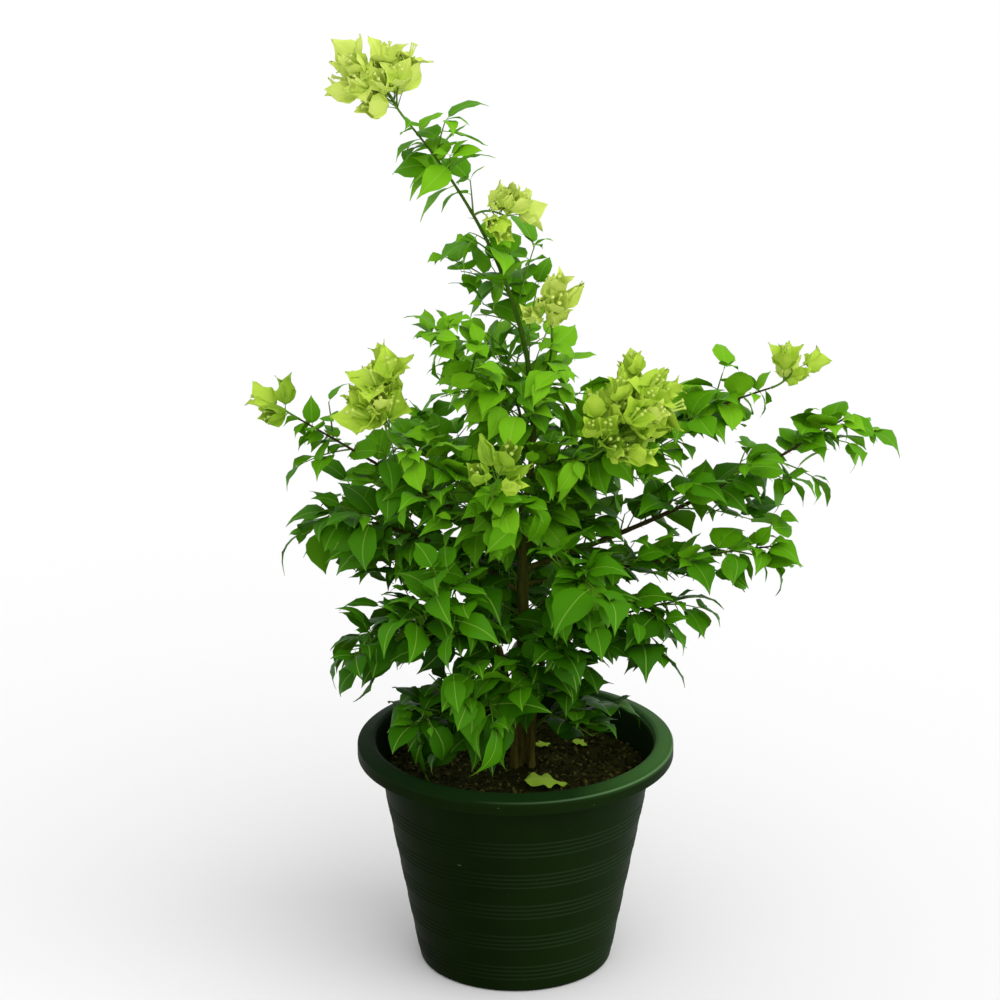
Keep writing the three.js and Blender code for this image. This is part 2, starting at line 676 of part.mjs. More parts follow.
for (const fallen of FALLEN) {
  const heading = fallen.heading * DEGREE;
  const along = new THREE.Vector3(Math.cos(heading), Math.sin(heading), 0);
  const blade = {
    base: new THREE.Vector3(fallen.at[0], fallen.at[1], SOIL_LEVEL + GAP),
    along,
    side: new THREE.Vector3().crossVectors(along, UP),
    normal: UP.clone(),
    length: fallen.length,
    width: BRACT_WIDTH,
    droop: 0.01,
  };
  addMesh(fallen.name, place(bladeSolid(blade), fallen.name), MATERIALS.bracts);
}

// The wood and the leafy part of a limb, swelled by an allowance
function woodOf(limb, allowance) {
  const radiusAt = (t) => limb.radiusAt(t) + allowance;
  return limbSolid(limb.curve, 0, limb.bare, radiusAt, limb.sides, limb.steps);
}

function stemOf(limb, allowance) {
  const radiusAt = (t) => limb.radiusAt(t) + allowance;
  return limbSolid(limb.curve, limb.leafyFrom, 1, radiusAt, SHOOT_SIDES, limb.runs);
}

// What leaves the side of a parent is cut to stand clear of the parent's own surface
function clearOf(solid, parent) {
  let cut = solid.subtract(woodOf(parent, SLEEVE));
  if (parent.bare < 1) cut = cut.subtract(stemOf(parent, SLEEVE));
  return largestPiece(cut);
}

for (const limb of limbs.values()) {
  if (limb.bare === 0) continue;
  const solid = woodOf(limb, 0);
  const cut = limb.parent ? clearOf(solid, limbs.get(limb.parent)) : solid;
  addMesh(limb.name, place(cut, limb.name), MATERIALS.bark);
}

// The shoots: stem, twigs and blades are fused into one solid for each
const grown = [];
for (const shoot of [...SHOOTS, ...BLOOMS]) {
  const limb = limbs.get(shoot.name);
  const isBloom = limb.heads > 0;
  const owner = isBloom ? shoot.name : `foliage_${shoot.name}`;
  const fromSide = limb.bare === 0 && !limb.grownOn;
  const stem = fromSide ? clearOf(stemOf(limb, 0), limbs.get(limb.parent)) : stemOf(limb, 0);
  place(stem, owner);
  grown.push({ owner, isBloom, stem, growth: isBloom ? growBloom(limb) : growFoliage(limb) });
}

const twigRadius = (t) => TWIG_RADIUS + (TWIG_TIP_RADIUS - TWIG_RADIUS) * t;

// Blades that would run into another blade or another twig of their own shoot are left out
function twigSolids(growth, owner) {
  const solids = [];
  const lost = new Set();
  for (const twig of growth.twigs) {
    const solid = limbSolid(twig.curve, 0, 1, twigRadius, TWIG_SIDES, 1);
    const crossed = solids.some((other) => !other.intersect(solid).isEmpty());
    if (crossed || touches(solid, owner)) twig.leaves.forEach((leaf) => lost.add(leaf));
    else solids.push(place(solid, owner));
    twig.solid = solid;
  }
  const hosts = new Map(growth.twigs.flatMap((twig) => twig.leaves.map((leaf) => [leaf, twig.solid])));
  for (const leaf of growth.leaves.filter((one) => !lost.has(one))) {
    const solid = bladeSolid(leaf);
    const crowded = solids.some((other) => other !== hosts.get(leaf) && !other.intersect(solid).isEmpty());
    if (crowded || touches(solid, owner)) continue;
    solids.push(place(solid, owner));
  }
  return solids;
}

// Heads that would run into each other in one cluster are left out
function flowerSolids(growth, owner) {
  const solids = [];
  for (const head of growth.heads) {
    const solid = headSolid(head);
    const crowded = solids.some((other) => !other.intersect(solid).isEmpty());
    if (!crowded && !touches(solid, owner)) solids.push(place(solid, owner));
  }
  return solids;
}

for (const { owner, isBloom, growth, stem } of grown) {
  const solids = isBloom ? flowerSolids(growth, owner) : twigSolids(growth, owner);
  addMesh(owner, largestPiece(fuse([stem, ...solids])), isBloom ? MATERIALS.bracts : MATERIALS.foliage);
}

export default bush;
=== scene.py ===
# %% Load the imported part
import json
import math

import bmesh
import bpy
import numpy as np
from mathutils import Matrix, Vector, noise

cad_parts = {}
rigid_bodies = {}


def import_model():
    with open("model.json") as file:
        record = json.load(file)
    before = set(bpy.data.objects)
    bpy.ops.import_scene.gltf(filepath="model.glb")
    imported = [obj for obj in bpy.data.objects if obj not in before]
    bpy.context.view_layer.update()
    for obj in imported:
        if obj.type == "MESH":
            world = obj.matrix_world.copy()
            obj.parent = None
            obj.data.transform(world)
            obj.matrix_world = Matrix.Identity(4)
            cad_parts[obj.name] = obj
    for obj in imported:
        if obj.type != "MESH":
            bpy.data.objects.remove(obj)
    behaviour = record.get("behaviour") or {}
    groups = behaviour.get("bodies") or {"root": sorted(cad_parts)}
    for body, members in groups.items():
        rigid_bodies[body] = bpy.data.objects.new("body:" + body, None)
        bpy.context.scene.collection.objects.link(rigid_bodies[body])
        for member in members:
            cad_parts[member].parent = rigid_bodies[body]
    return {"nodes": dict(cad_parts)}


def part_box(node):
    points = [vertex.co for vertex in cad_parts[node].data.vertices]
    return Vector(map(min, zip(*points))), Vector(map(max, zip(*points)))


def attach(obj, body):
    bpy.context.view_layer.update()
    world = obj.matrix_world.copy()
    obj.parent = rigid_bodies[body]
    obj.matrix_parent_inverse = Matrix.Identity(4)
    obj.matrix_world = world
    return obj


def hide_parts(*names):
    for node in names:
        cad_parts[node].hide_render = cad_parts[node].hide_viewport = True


for thing in list(bpy.data.objects):
    bpy.data.objects.remove(thing)
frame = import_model()
bpy.context.view_layer.update()

# %% [markdown]
# A young bougainvillea bush in a round nursery pot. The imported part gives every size: the pot, the soil,
# the trunk and boughs, and the space that each leafy or flowering shoot may fill. This script dresses it.
# The growth rule works in millimetres, like the part's own, and MM turns its results into metres.

# %% Units and names
MM = 0.001
ACROSS = np.array([1.0, 0.0, 0.0])
UP = np.array([0.0, 0.0, 1.0])
DEGREE = math.pi / 180
FULL_TURN = 2 * math.pi
GOLDEN_ANGLE = 137.5 * DEGREE

nodes = sorted(frame["nodes"])
foliage_nodes = [name for name in nodes if name.startswith("foliage_")]
bloom_nodes = [name for name in nodes if name.startswith("bloom_")]
fallen_nodes = [name for name in nodes if name.startswith("fallen_")]
print(len(foliage_nodes), "leafy masses,", len(bloom_nodes), "flower clusters")

# %% [markdown]
# The camera comes first, because every later judgement is made through it. A long lens from four metres
# away looks a little down on the bush, so that the pot's rim is an open ellipse and its sides hardly
# converge. A small shift puts the pot right of the middle of the picture.

# %% Camera
CAMERA_DISTANCE = 4.0
CAMERA_HEIGHT = 1.915
CAMERA_DIP = 19.95 * DEGREE
LENS = 164.45
SHIFT = -0.0155

camera_data = bpy.data.cameras.new("camera")
camera_data.lens = LENS
camera_data.shift_x = SHIFT
camera = bpy.data.objects.new("camera", camera_data)
camera.location = (0, -CAMERA_DISTANCE, CAMERA_HEIGHT)
camera.rotation_euler = (math.pi / 2 - CAMERA_DIP, 0, 0)
bpy.context.scene.collection.objects.link(camera)
bpy.context.scene.camera = camera
print("camera dips", round(math.degrees(CAMERA_DIP), 2), "degrees")

# %% [markdown]
# The light is a plain soft studio. A white world fills every shadow. The key is a sun lamp with a very
# wide disc, because it lights the whole floor evenly up to a white background and still leaves the crown
# dark inside. A weak lamp on the left opens the shaded side of the pot a little. Colours are shown as they
# are, without a film curve, so that the saturated greens stay saturated.

# %% World, lamps and floor
WORLD_STRENGTH = 0.78
LAMPS = {
    "key": {"kind": "SUN", "place": (1.6, -1.7, 3.0), "energy": 1.45, "angle": 72 * DEGREE},
    "fill": {"kind": "AREA", "place": (-2.2, -2.2, 1.4), "energy": 1.5, "size": 1.8},
}
AIM = Vector((0, 0, 0.4))
FLOOR_SIZE = 40
bpy.context.scene.view_settings.view_transform = "Standard"

world = bpy.data.worlds.new("studio")
world.use_nodes = True
world.node_tree.nodes["Background"].inputs["Color"].default_value = (1, 1, 1, 1)
world.node_tree.nodes["Background"].inputs["Strength"].default_value = WORLD_STRENGTH
bpy.context.scene.world = world

for name, settings in LAMPS.items():
    data = bpy.data.lights.new(name, settings["kind"])
    for key in set(settings) - {"kind", "place"}:
        setattr(data, key, settings[key])
    lamp = bpy.data.objects.new(name, data)
    lamp.location = settings["place"]
    lamp.rotation_euler = (AIM - lamp.location).to_track_quat("-Z", "Y").to_euler()
    bpy.context.scene.collection.objects.link(lamp)

floor_mesh = bpy.data.meshes.new("floor")
half = FLOOR_SIZE / 2
corners = [(-half, -half, 0), (half, -half, 0), (half, half, 0), (-half, half, 0)]
floor_mesh.from_pydata(corners, [], [(0, 1, 2, 3)])
floor = bpy.data.objects.new("floor", floor_mesh)
bpy.context.scene.collection.objects.link(floor)
print("lamps:", ", ".join(LAMPS))

# %% [markdown]
# Two small classes write the materials. A Value wraps a socket, so that arithmetic on it adds Math nodes.
# A Finish is one material: node() adds any node with its settings first and then its inputs, and set()
# gives the surface shader a constant or something that changes over the surface.

# %% Values in a shader
class Value:
    """A shader socket that Python's operators work on."""

    def __init__(self, finish, socket):
        self.finish = finish
        self.socket = socket

    def maths(self, operation, first, second=0.0):
        return self.finish.node("ShaderNodeMath", {"operation": operation}, {0: first, 1: second})

    def __add__(self, other):
        return self.maths("ADD", self, other)

    def __radd__(self, other):
        return self.maths("ADD", other, self)

    def __sub__(self, other):
        return self.maths("SUBTRACT", self, other)

    def __rsub__(self, other):
        return self.maths("SUBTRACT", other, self)

    def __mul__(self, other):
        return self.maths("MULTIPLY", self, other)

    def __rmul__(self, other):
        return self.maths("MULTIPLY", other, self)

    def fraction(self):
        return self.maths("FRACT", self)

    def size(self):
        return self.maths("ABSOLUTE", self)


print("a Value takes +, - and *")

# %% Finishes
FIRST_COLOUR, SECOND_COLOUR = 6, 7


class Finish:
    """One material: its shader, and a method for every other node."""

    def __init__(self, name, colour, roughness, gloss=0.5):
        self.material = bpy.data.materials.new(name)
        self.material.use_nodes = True
        self.tree = self.material.node_tree
        self.shader = self.tree.nodes["Principled BSDF"]
        self.set("Base Color", colour)
        self.set("Roughness", roughness)
        self.set("Specular IOR Level", gloss)

    def connect(self, socket, value):
        if isinstance(value, Value):
            self.tree.links.new(value.socket, socket)
        elif isinstance(value, tuple) and len(value) == 3 and socket.type == "RGBA":
            socket.default_value = (*value, 1)
        else:
            socket.default_value = value

    def node(self, kind, settings, inputs, output=0):
        made = self.tree.nodes.new(kind)
        for name, value in settings.items():
            if name == "stops":
                for stop, (position, colour) in enumerate(value):
                    if stop >= len(made.color_ramp.elements):
                        made.color_ramp.elements.new(position)
                    made.color_ramp.elements[stop].position = position
                    made.color_ramp.elements[stop].color = (*colour, 1)
            else:
                setattr(made, name, value)
        for socket, value in inputs.items():
            self.connect(made.inputs[socket], value)
        return Value(self, made.outputs[output])

    def place(self, scale=(1, 1, 1)):
        """The point on the piece, in its own metres, stretched by a scale for each axis."""
        point = self.node("ShaderNodeTexCoord", {}, {}, output="Object")
        return self.node("ShaderNodeMapping", {}, {"Vector": point, "Scale": scale})

    def along(self, axis):
        """How far the point lies along an axis, in metres."""
        return self.node("ShaderNodeSeparateXYZ", {}, {0: self.place()}, output=axis)

    def speckle(self, scale, detail=2.0, stretch=(1, 1, 1)):
        """Noise between 0 and 1, with scale features to a metre."""
        inputs = {"Vector": self.place(stretch), "Scale": scale, "Detail": detail}
        return self.node("ShaderNodeTexNoise", {}, inputs)

    def ramp(self, value, *stops):
        return self.node("ShaderNodeValToRGB", {"stops": stops}, {"Fac": value})

    def mix(self, share, first, second):
        """The first colour, with a share of the second."""
        inputs = {0: share, FIRST_COLOUR: first, SECOND_COLOUR: second}
        return self.node("ShaderNodeMix", {"data_type": "RGBA"}, inputs, output=2)

    def rise(self, value, low, high):
        """0 below low, 1 above high, and a straight rise between them."""
        inputs = {"Value": value, "From Min": low, "From Max": high}
        return self.node("ShaderNodeMapRange", {"clamp": True}, inputs)

    def bump(self, height, strength, distance):
        inputs = {"Height": height, "Strength": strength, "Distance": distance}
        self.set("Normal", self.node("ShaderNodeBump", {}, inputs))

    def set(self, socket, value):
        self.connect(self.shader.inputs[socket], value)


print("a Finish is a material")

# %% Floor finish
FLOOR_GREY = (0.9, 0.9, 0.9)
FLOOR_ROUGHNESS = 0.9
floor_finish = Finish("pale floor", FLOOR_GREY, FLOOR_ROUGHNESS)
floor_mesh.materials.append(floor_finish.material)
print("materials:", len(bpy.data.materials))

# %% [markdown]
# Everything that is written as arrays of points goes through one small class. It collects vertices and
# faces, with the number of the material that each face takes, and gives back one mesh.

# %% Shapes
class Shape:
    """Points and faces that are collected and become one mesh."""

    def __init__(self):
        self.points = []
        self.faces = []
        self.parts = []
        self.sharp = []
        self.count = 0

    def add(self, points, faces, part=0, sharp=()):
        """Adds points and the faces between them. part is one number, or one for each face."""
        parts = [part] * len(faces) if isinstance(part, int) else part
        self.points.append(np.asarray(points, dtype=float))
        self.faces += [tuple(int(i) + self.count for i in face) for face in faces]
        self.parts += parts
        self.sharp += [(int(a) + self.count, int(b) + self.count) for a, b in sharp]
        self.count += len(points)

    def mesh(self, name, scale=1.0):
        mesh = bpy.data.meshes.new(name)
        points = np.concatenate(self.points) * scale
        mesh.from_pydata(points.tolist(), [], self.faces, shade_flat=False)
        mesh.polygons.foreach_set("material_index", self.parts)
        if self.sharp:
            wanted = {frozenset(pair) for pair in self.sharp}
            marks = [frozenset(edge.vertices) in wanted for edge in mesh.edges]
            mesh.attributes.new("sharp_edge", "BOOLEAN", "EDGE").data.foreach_set("value", marks)
        mesh.update()
        return mesh


print("a Shape collects points, faces and parts")

# %% Grids and tubes
NEARLY_UPRIGHT = 0.9


def grid_faces(rows, columns, closed=False):
    """Quads between rows of points, which run round and close on themselves or not."""
    wide = columns if closed else columns - 1
    faces = []
    for row in range(rows - 1):
        for column in range(wide):
            after = (column + 1) % columns
            faces.append((row * columns + column, row * columns + after,
                          (row + 1) * columns + after, (row + 1) * columns + column))
    return faces


def tube(shape, centres, radii, sides, part=0, relief=None):
    """A closed tube through the centres. relief gives the change in radius at each ring and side."""
    centres = np.asarray(centres, dtype=float)
    along = np.gradient(centres, axis=0)
    along /= np.linalg.norm(along, axis=1, keepdims=True)
    reference = np.where(np.abs(along[:, 2:3]) < NEARLY_UPRIGHT, UP, ACROSS)
    across = np.cross(along, reference)
    across /= np.linalg.norm(across, axis=1, keepdims=True)
    third = np.cross(along, across)
    angles = FULL_TURN * np.arange(sides) / sides
    radius = np.asarray(radii, dtype=float)[:, None] + (0 if relief is None else relief)
    reach_x = (radius * np.cos(angles))[..., None] * across[:, None]
    reach_y = (radius * np.sin(angles))[..., None] * third[:, None]
    points = (centres[:, None] + reach_x + reach_y).reshape(-1, 3)
    faces = grid_faces(len(centres), sides, closed=True)
    faces.append(tuple(range(sides))[::-1])
    faces.append(tuple(range(len(points) - sides, len(points))))
    shape.add(points, faces, part)


print("faces between two rings of eight points:", len(grid_faces(2, 8, closed=True)))

# %% Pieces
def piece(name, mesh, finishes, replaced):
    """Makes the mesh a piece of the plant: its finishes, its body and what it stands for.

    A drawn mesh has its parts numbered already. One that a tree has made has its own list of materials, so
    its faces are renumbered, because clearing that list sets them all to the first."""
    materials = [finish.material for finish in finishes]
    order = [materials.index(material) if material in materials else 0 for material in mesh.materials]
    numbers = [order[face.material_index] if order else face.material_index for face in mesh.polygons]
    mesh.materials.clear()
    for material in materials:
        mesh.materials.append(material)
    mesh.polygons.foreach_set("material_index", numbers)
    thing = bpy.data.objects.new(name, mesh)
    bpy.context.scene.collection.objects.link(thing)
    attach(thing, "root")
    if replaced:
        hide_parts(*replaced)
    triangles = sum(len(face.vertices) - 2 for face in mesh.polygons)
    print(f"{name}: {triangles} triangles")
    return thing


print("pieces ride on root")


# %% [markdown]
# The pot is thin moulded plastic: a tapered wall with a lip that slopes outwards and turns down, and five
# groups of four fine raised lines. It is one lathed section. The lines are part of the wall, as they
# are in the mould, so they belong to the section and aren't laid on it. Its corners are all eased, since
# a moulded edge is never sharp and the highlight along it is what shows.

# %% Pot sizes
pot_low, pot_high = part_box("pot")
POT_HEIGHT = (pot_high.z - pot_low.z) / MM
RIM_RADIUS = (pot_high.x - pot_low.x) / 2 / MM
BASE_RADIUS = 91.1
WALL_SLOPE = 0.1906
WALL = 2.6
FLOOR = 4
FOOT = ((8, 0, 2), (5, 1.2, 1), (1.4, 0.4, 1))
FOOT_EDGE = (2.2, 2.6, 1.4)
LIP_INNER_RADIUS = 133
LIP_BEVEL, LIP_DROP = 3, 1.2
LIP_CREASE = 220.7
LIP_BOTTOM = 208.2
LIP_UNDERSIDE = 217
SOIL_LEVEL = 187
GROUP_COUNT = 5
GROUP_FIRST = 21.5
GROUP_PITCH = 34.6
LINES = (-6.9, -2.3, 2.3, 6.9)
LINE_HALF = 0.95
LINE_PROUD = 0.42
LINE_FOOT = 0.5
BEAD_LEVEL = 202
BEAD_PROUD = 0.5
BEAD_HALF = 1.6
POT_SIDES = 160
print("rim radius", round(RIM_RADIUS), "and height", round(POT_HEIGHT), "mm")

# %% Pot curves
def wall_radius(height):
    return BASE_RADIUS + WALL_SLOPE * height


def eased(corner, before, after, size, steps=4):
    """A few points that round a corner of a section, from the side of one neighbour to the other's."""
    corner, before, after = (np.array(point, dtype=float) for point in (corner, before, after))
    start = corner + (before - corner) * size / np.linalg.norm(before - corner)
    end = corner + (after - corner) * size / np.linalg.norm(after - corner)
    shares = np.linspace(0, 1, steps + 1)
    return [tuple((1 - t) ** 2 * start + 2 * t * (1 - t) * corner + t * t * end) for t in shares]


def rounded(section, sizes):
    """The section with each corner eased by its own size; 0 keeps it sharp."""
    points = [section[0]]
    for i in range(1, len(section) - 1):
        if sizes[i] > 0:
            points += eased(section[i], section[i - 1], section[i + 1], sizes[i])
        else:
            points.append(section[i])
    return points + [section[-1]]


def raised_line(middle, proud, half):
    """A low moulded line round the wall, with a flat foot on each side that keeps the wall's shade even."""
    heights = (-half - LINE_FOOT, -half, -0.5 * half, 0.5 * half, half, half + LINE_FOOT)
    swell = (0, 0, 1, 1, 0, 0)
    return [(wall_radius(middle + h) + proud * w, middle + h) for h, w in zip(heights, swell)]


print("wall radius at the soil:", round(wall_radius(SOIL_LEVEL), 1), "mm")

# %% [markdown]
# Each corner of the section is a radius, a height and the size of the ease on it. The foot is a low ring,
# so its corners are set in from the base's edge.

# %% Pot section
outer = [(0, 0, 0)] + [(BASE_RADIUS - inset, level, ease) for inset, level, ease in FOOT]
outer.append((wall_radius(FOOT_EDGE[0]), *FOOT_EDGE[1:]))
for group in range(GROUP_COUNT):
    for line in LINES:
        middle = GROUP_FIRST + group * GROUP_PITCH + line
        outer += [(r, z, 0) for r, z in raised_line(middle, LINE_PROUD, LINE_HALF)]
outer += [(r, z, 0) for r, z in raised_line(BEAD_LEVEL, BEAD_PROUD, BEAD_HALF)]
lip = [
    (wall_radius(LIP_UNDERSIDE), LIP_UNDERSIDE, 1.5),
    (RIM_RADIUS - WALL, LIP_UNDERSIDE, 1.2),
    (RIM_RADIUS - WALL, LIP_BOTTOM, 0.9),
    (RIM_RADIUS, LIP_BOTTOM, 0.9),
    (RIM_RADIUS, LIP_CREASE, 1.8),
    (LIP_INNER_RADIUS + LIP_BEVEL, POT_HEIGHT, 1.6),
    (LIP_INNER_RADIUS, POT_HEIGHT - LIP_DROP, 1.2),
    (wall_radius(LIP_BOTTOM) - WALL, LIP_BOTTOM, 1.5),
    (wall_radius(FLOOR) - WALL, FLOOR, 3),
    (0, FLOOR, 0),
]
corners = outer + lip
section = rounded([(r, z) for r, z, _ in corners], [size for _, _, size in corners])

pot_shape = Shape()
angles = FULL_TURN * np.arange(POT_SIDES) / POT_SIDES
ring = np.stack([np.cos(angles), np.sin(angles)], axis=1)
rows = section[1:-1]
points = [(r * c, r * s, z) for r, z in rows for c, s in ring]
faces = grid_faces(len(rows), POT_SIDES, closed=True)
bottom, floor_centre = len(points), len(points) + 1
points += [(0, 0, 0), (0, 0, FLOOR)]
last = (len(rows) - 1) * POT_SIDES
for side in range(POT_SIDES):
    after = (side + 1) % POT_SIDES
    faces.append((bottom, after, side))
    faces.append((floor_centre, last + side, last + after))
pot_shape.add(points, faces)
print("section points:", len(section))

# %% [markdown]
# The plastic is a saturated dark green with a satin surface. What makes it plastic and not paint is how
# its gloss breaks up: fine scuffs and a little dust. The lip is paler towards its top. On the right, lip
# and wall are painted lighter as painted light, with painted highlights along the lip's crease and on the
# crests of the raised lines. Spans are in millimetres: from left to right, or above and below the crease.

# %% Pot colours and spans
BODY_GREEN = (0.0027, 0.0074, 0.0005)
DUSTY_GREEN = (0.0059, 0.0147, 0.0017)
LIP_GREEN = (0.0060, 0.0220, 0.0042)
# Painted light: the right side of the lip and wall is painted in this paler green.
PAINTED_LIGHT_GREEN = (0.0620, 0.1700, 0.0370)
# Painted highlight along the lip's crease, on the right.
CREASE_HIGHLIGHT_GREEN = (0.2200, 0.4000, 0.1800)
# Painted highlights on the crests of the raised lines, on the right.
LINE_HIGHLIGHT_GREEN = (0.0125, 0.0270, 0.0090)
SCUFF_GREEN = (0.0800, 0.1200, 0.0500)
# Spans from left to right over which the painted light comes in on the lip, the wall and the line crests.
LIP_LIGHT_SPAN = (52, 155)
WALL_LIGHT_SPAN = (-40, 100)
LINE_LIGHT_SPAN = (-60, 40)
CREASE_RISE = (-1.4, -0.3)
CREASE_FALL = (0, 0.7)
CREST = (0.5, 1.3)
DUSTY_CLOUDS, DUSTY_SHARE = (0.35, 0.75), 0.6
LIP_SHARE = 0.9
# Shares of the painted light on the lip and on the wall.
LIP_LIGHT_SHARE, WALL_LIGHT_SHARE = 0.8, 0.05
# Share of the painted highlights on the line crests.
LINE_HIGHLIGHT_SHARE = 0.9
# Share of the painted highlight along the crease.
CREASE_HIGHLIGHT_SHARE = 0.35
SCUFFED, SCUFF_SHARE = (0.74, 0.77), 0.5
PLASTIC_GLOSS = 0.016
LEAST_ROUGH, CLOUD_ROUGH, DUST_ROUGH = 0.34, 0.16, 0.08
DUST_BUMP, SCRATCH_BUMP = 0.4, 0.6
PLASTIC_BUMP = (0.12, 0.0006)
# How far below the lip's underside and above its crease the paler lip colour reaches.
LIP_BAND_REACH = (-0.5, 1.8)
GROUP_EDGE = (-0.6, -0.2)
CLOUDS = (9, 4)
DUST = (140, 5)
SPECKS = (70, 3, (1, 1, 2.2))
SCRATCHES = (60, 6, (1, 1, 9))
LINE_PITCH = LINES[1] - LINES[0]
print("raised lines:", GROUP_COUNT * len(LINES), "with", round(LINE_PITCH, 1), "mm between them")

# %% Pot finish
pot_finish = Finish("green plastic", BODY_GREEN, LEAST_ROUGH, PLASTIC_GLOSS)


def line_crests(level):
    """1 on the raised lines and 0 between them, from the height in millimetres."""
    offset = (((level - GROUP_FIRST) * (1 / GROUP_PITCH) + 0.5).fraction() - 0.5) * GROUP_PITCH
    to_line = ((offset * (1 / LINE_PITCH)).fraction() - 0.5).size() * LINE_PITCH
    edge = 2 * LINE_PITCH
    top = GROUP_FIRST + (GROUP_COUNT - 0.5) * GROUP_PITCH
    beside = pot_finish.rise(offset.size(), *(edge + step for step in GROUP_EDGE))
    above = pot_finish.rise(level, top - 1, top)
    in_group = (1 - beside) * (1 - above)
    return (1 - pot_finish.rise(to_line, *CREST)) * in_group


level = pot_finish.along("Z") * (1 / MM)
across = pot_finish.along("X") * (1 / MM)
# The lip band: paler towards the top of the lip.
lip_band = pot_finish.rise(level, LIP_UNDERSIDE + LIP_BAND_REACH[0], LIP_CREASE + LIP_BAND_REACH[1])
# The band round the lip's crease that carries the painted highlight.
crease = pot_finish.rise(level, *(LIP_CREASE + offset for offset in CREASE_RISE))
crease = crease * (1 - pot_finish.rise(level, *(LIP_CREASE + offset for offset in CREASE_FALL)))
# Painted light that comes in towards the right on the lip and the wall.
lip_light = pot_finish.rise(across, *LIP_LIGHT_SPAN)
wall_light = pot_finish.rise(across, *WALL_LIGHT_SPAN)
# Painted light on the line crests, coming in towards the right.
line_light = pot_finish.rise(across, *LINE_LIGHT_SPAN)
clouds = pot_finish.speckle(*CLOUDS)
dust = pot_finish.speckle(*DUST)
specks = pot_finish.speckle(*SPECKS)
scratches = pot_finish.speckle(*SCRATCHES)
# Layers over the body green: random dusty clouds, the paler lip, painted light on the right, painted
# highlights on the line crests and the crease, and scuffs.
layers = [
    (pot_finish.rise(clouds, *DUSTY_CLOUDS) * DUSTY_SHARE, DUSTY_GREEN),
    (lip_band * LIP_SHARE, LIP_GREEN),
    (lip_band * lip_light * LIP_LIGHT_SHARE + wall_light * WALL_LIGHT_SHARE, PAINTED_LIGHT_GREEN),
    (line_crests(level) * line_light * LINE_HIGHLIGHT_SHARE, LINE_HIGHLIGHT_GREEN),
    (crease * wall_light * CREASE_HIGHLIGHT_SHARE, CREASE_HIGHLIGHT_GREEN),
    (pot_finish.rise(specks, *SCUFFED) * SCUFF_SHARE, SCUFF_GREEN),
]
green = BODY_GREEN
for share, colour in layers:
    green = pot_finish.mix(share, green, colour)
pot_finish.set("Base Color", green)
pot_finish.set("Roughness", LEAST_ROUGH + CLOUD_ROUGH * clouds + DUST_ROUGH * dust)
pot_finish.bump(dust * DUST_BUMP + scratches * SCRATCH_BUMP, *PLASTIC_BUMP)
piece("pot_shell", pot_shape.mesh("pot_shell", MM), [pot_finish], ["pot"])

# %% [markdown]
# The potting mix is a mound of crumbs, bark scraps and fibres. A plain disc with noise would look like
# cloth, so the surface gets relief from noise first, and Geometry Nodes then strew thousands of small
# irregular crumbs over it, each turned and scaled by a seeded random value.

# %% Soil surface
SOIL_GAP = 0.4
SOIL_RADIUS = wall_radius(SOIL_LEVEL) - WALL - SOIL_GAP
SOIL_RINGS = 56
SOIL_SIDES = 150
SOIL_BOTTOM = 150
HUMPS = {"broad": (2.2, 0.022, (5, 1, 0)), "clods": (1.5, 0.09, (0, 7, 3)), "grains": (0.7, 0.32, (2, 0, 9))}
BANK_FROM, BANK_WIDTH, BANK_HEIGHT = 104, 20, 3.0
MOUND = 0.6
RING_CROWDING = 0.8


def soil_height(x, y):
    """Height of the soil in millimetres: humps of three sizes, and a bank along the wall."""
    height = SOIL_LEVEL + MOUND
    for size, pace, shift in HUMPS.values():
        height += size * noise.noise(Vector((x, y, 0)) * pace + Vector(shift))
    bank = BANK_HEIGHT * max(0.0, (math.hypot(x, y) - BANK_FROM) / BANK_WIDTH)
    return height + min(BANK_HEIGHT, bank)


soil_shape = Shape()
points = []
reaches = [SOIL_RADIUS * (number / SOIL_RINGS) ** RING_CROWDING for number in range(1, SOIL_RINGS + 1)]
for reach in [*reaches, wall_radius(SOIL_BOTTOM) - WALL - SOIL_GAP]:
    for side in range(SOIL_SIDES):
        angle = FULL_TURN * side / SOIL_SIDES
        x, y = reach * math.cos(angle), reach * math.sin(angle)
        points.append((x, y, soil_height(x, y) if reach in reaches else SOIL_BOTTOM))
faces = [face[::-1] for face in grid_faces(SOIL_RINGS + 1, SOIL_SIDES, closed=True)]
points.append((0, 0, soil_height(0, 0)))
faces += [(len(points) - 1, side, (side + 1) % SOIL_SIDES) for side in range(SOIL_SIDES)]
faces.append(tuple(len(points) - 2 - side for side in range(SOIL_SIDES)))
soil_shape.add(points, faces)

SOIL_DARK = (0.0062, 0.0072, 0.0008)
SOIL_BROWN = (0.020, 0.022, 0.0026)
SOIL_PALE = (0.070, 0.070, 0.012)
SOIL_STOPS = ((0.3, SOIL_DARK), (0.55, SOIL_BROWN), (0.75, SOIL_PALE))
SOIL_ROUGHNESS, SOIL_GLOSS = 0.95, 0.05
SOIL_GRAIN, GRAIN_SHARE = (420, 6), 0.65
SOIL_PATCHES, PATCH_SHARE = (38, 3), 0.35
SOIL_BUMP = (0.6, 0.002)
soil_finish = Finish("potting mix", SOIL_BROWN, SOIL_ROUGHNESS, SOIL_GLOSS)
grain = soil_finish.speckle(*SOIL_GRAIN)
patches = soil_finish.speckle(*SOIL_PATCHES)
soil_finish.set("Base Color", soil_finish.ramp(grain * GRAIN_SHARE + patches * PATCH_SHARE, *SOIL_STOPS))
soil_finish.bump(grain, *SOIL_BUMP)
soil = piece("soil_surface", soil_shape.mesh("soil_surface", MM), [soil_finish], ["soil"])

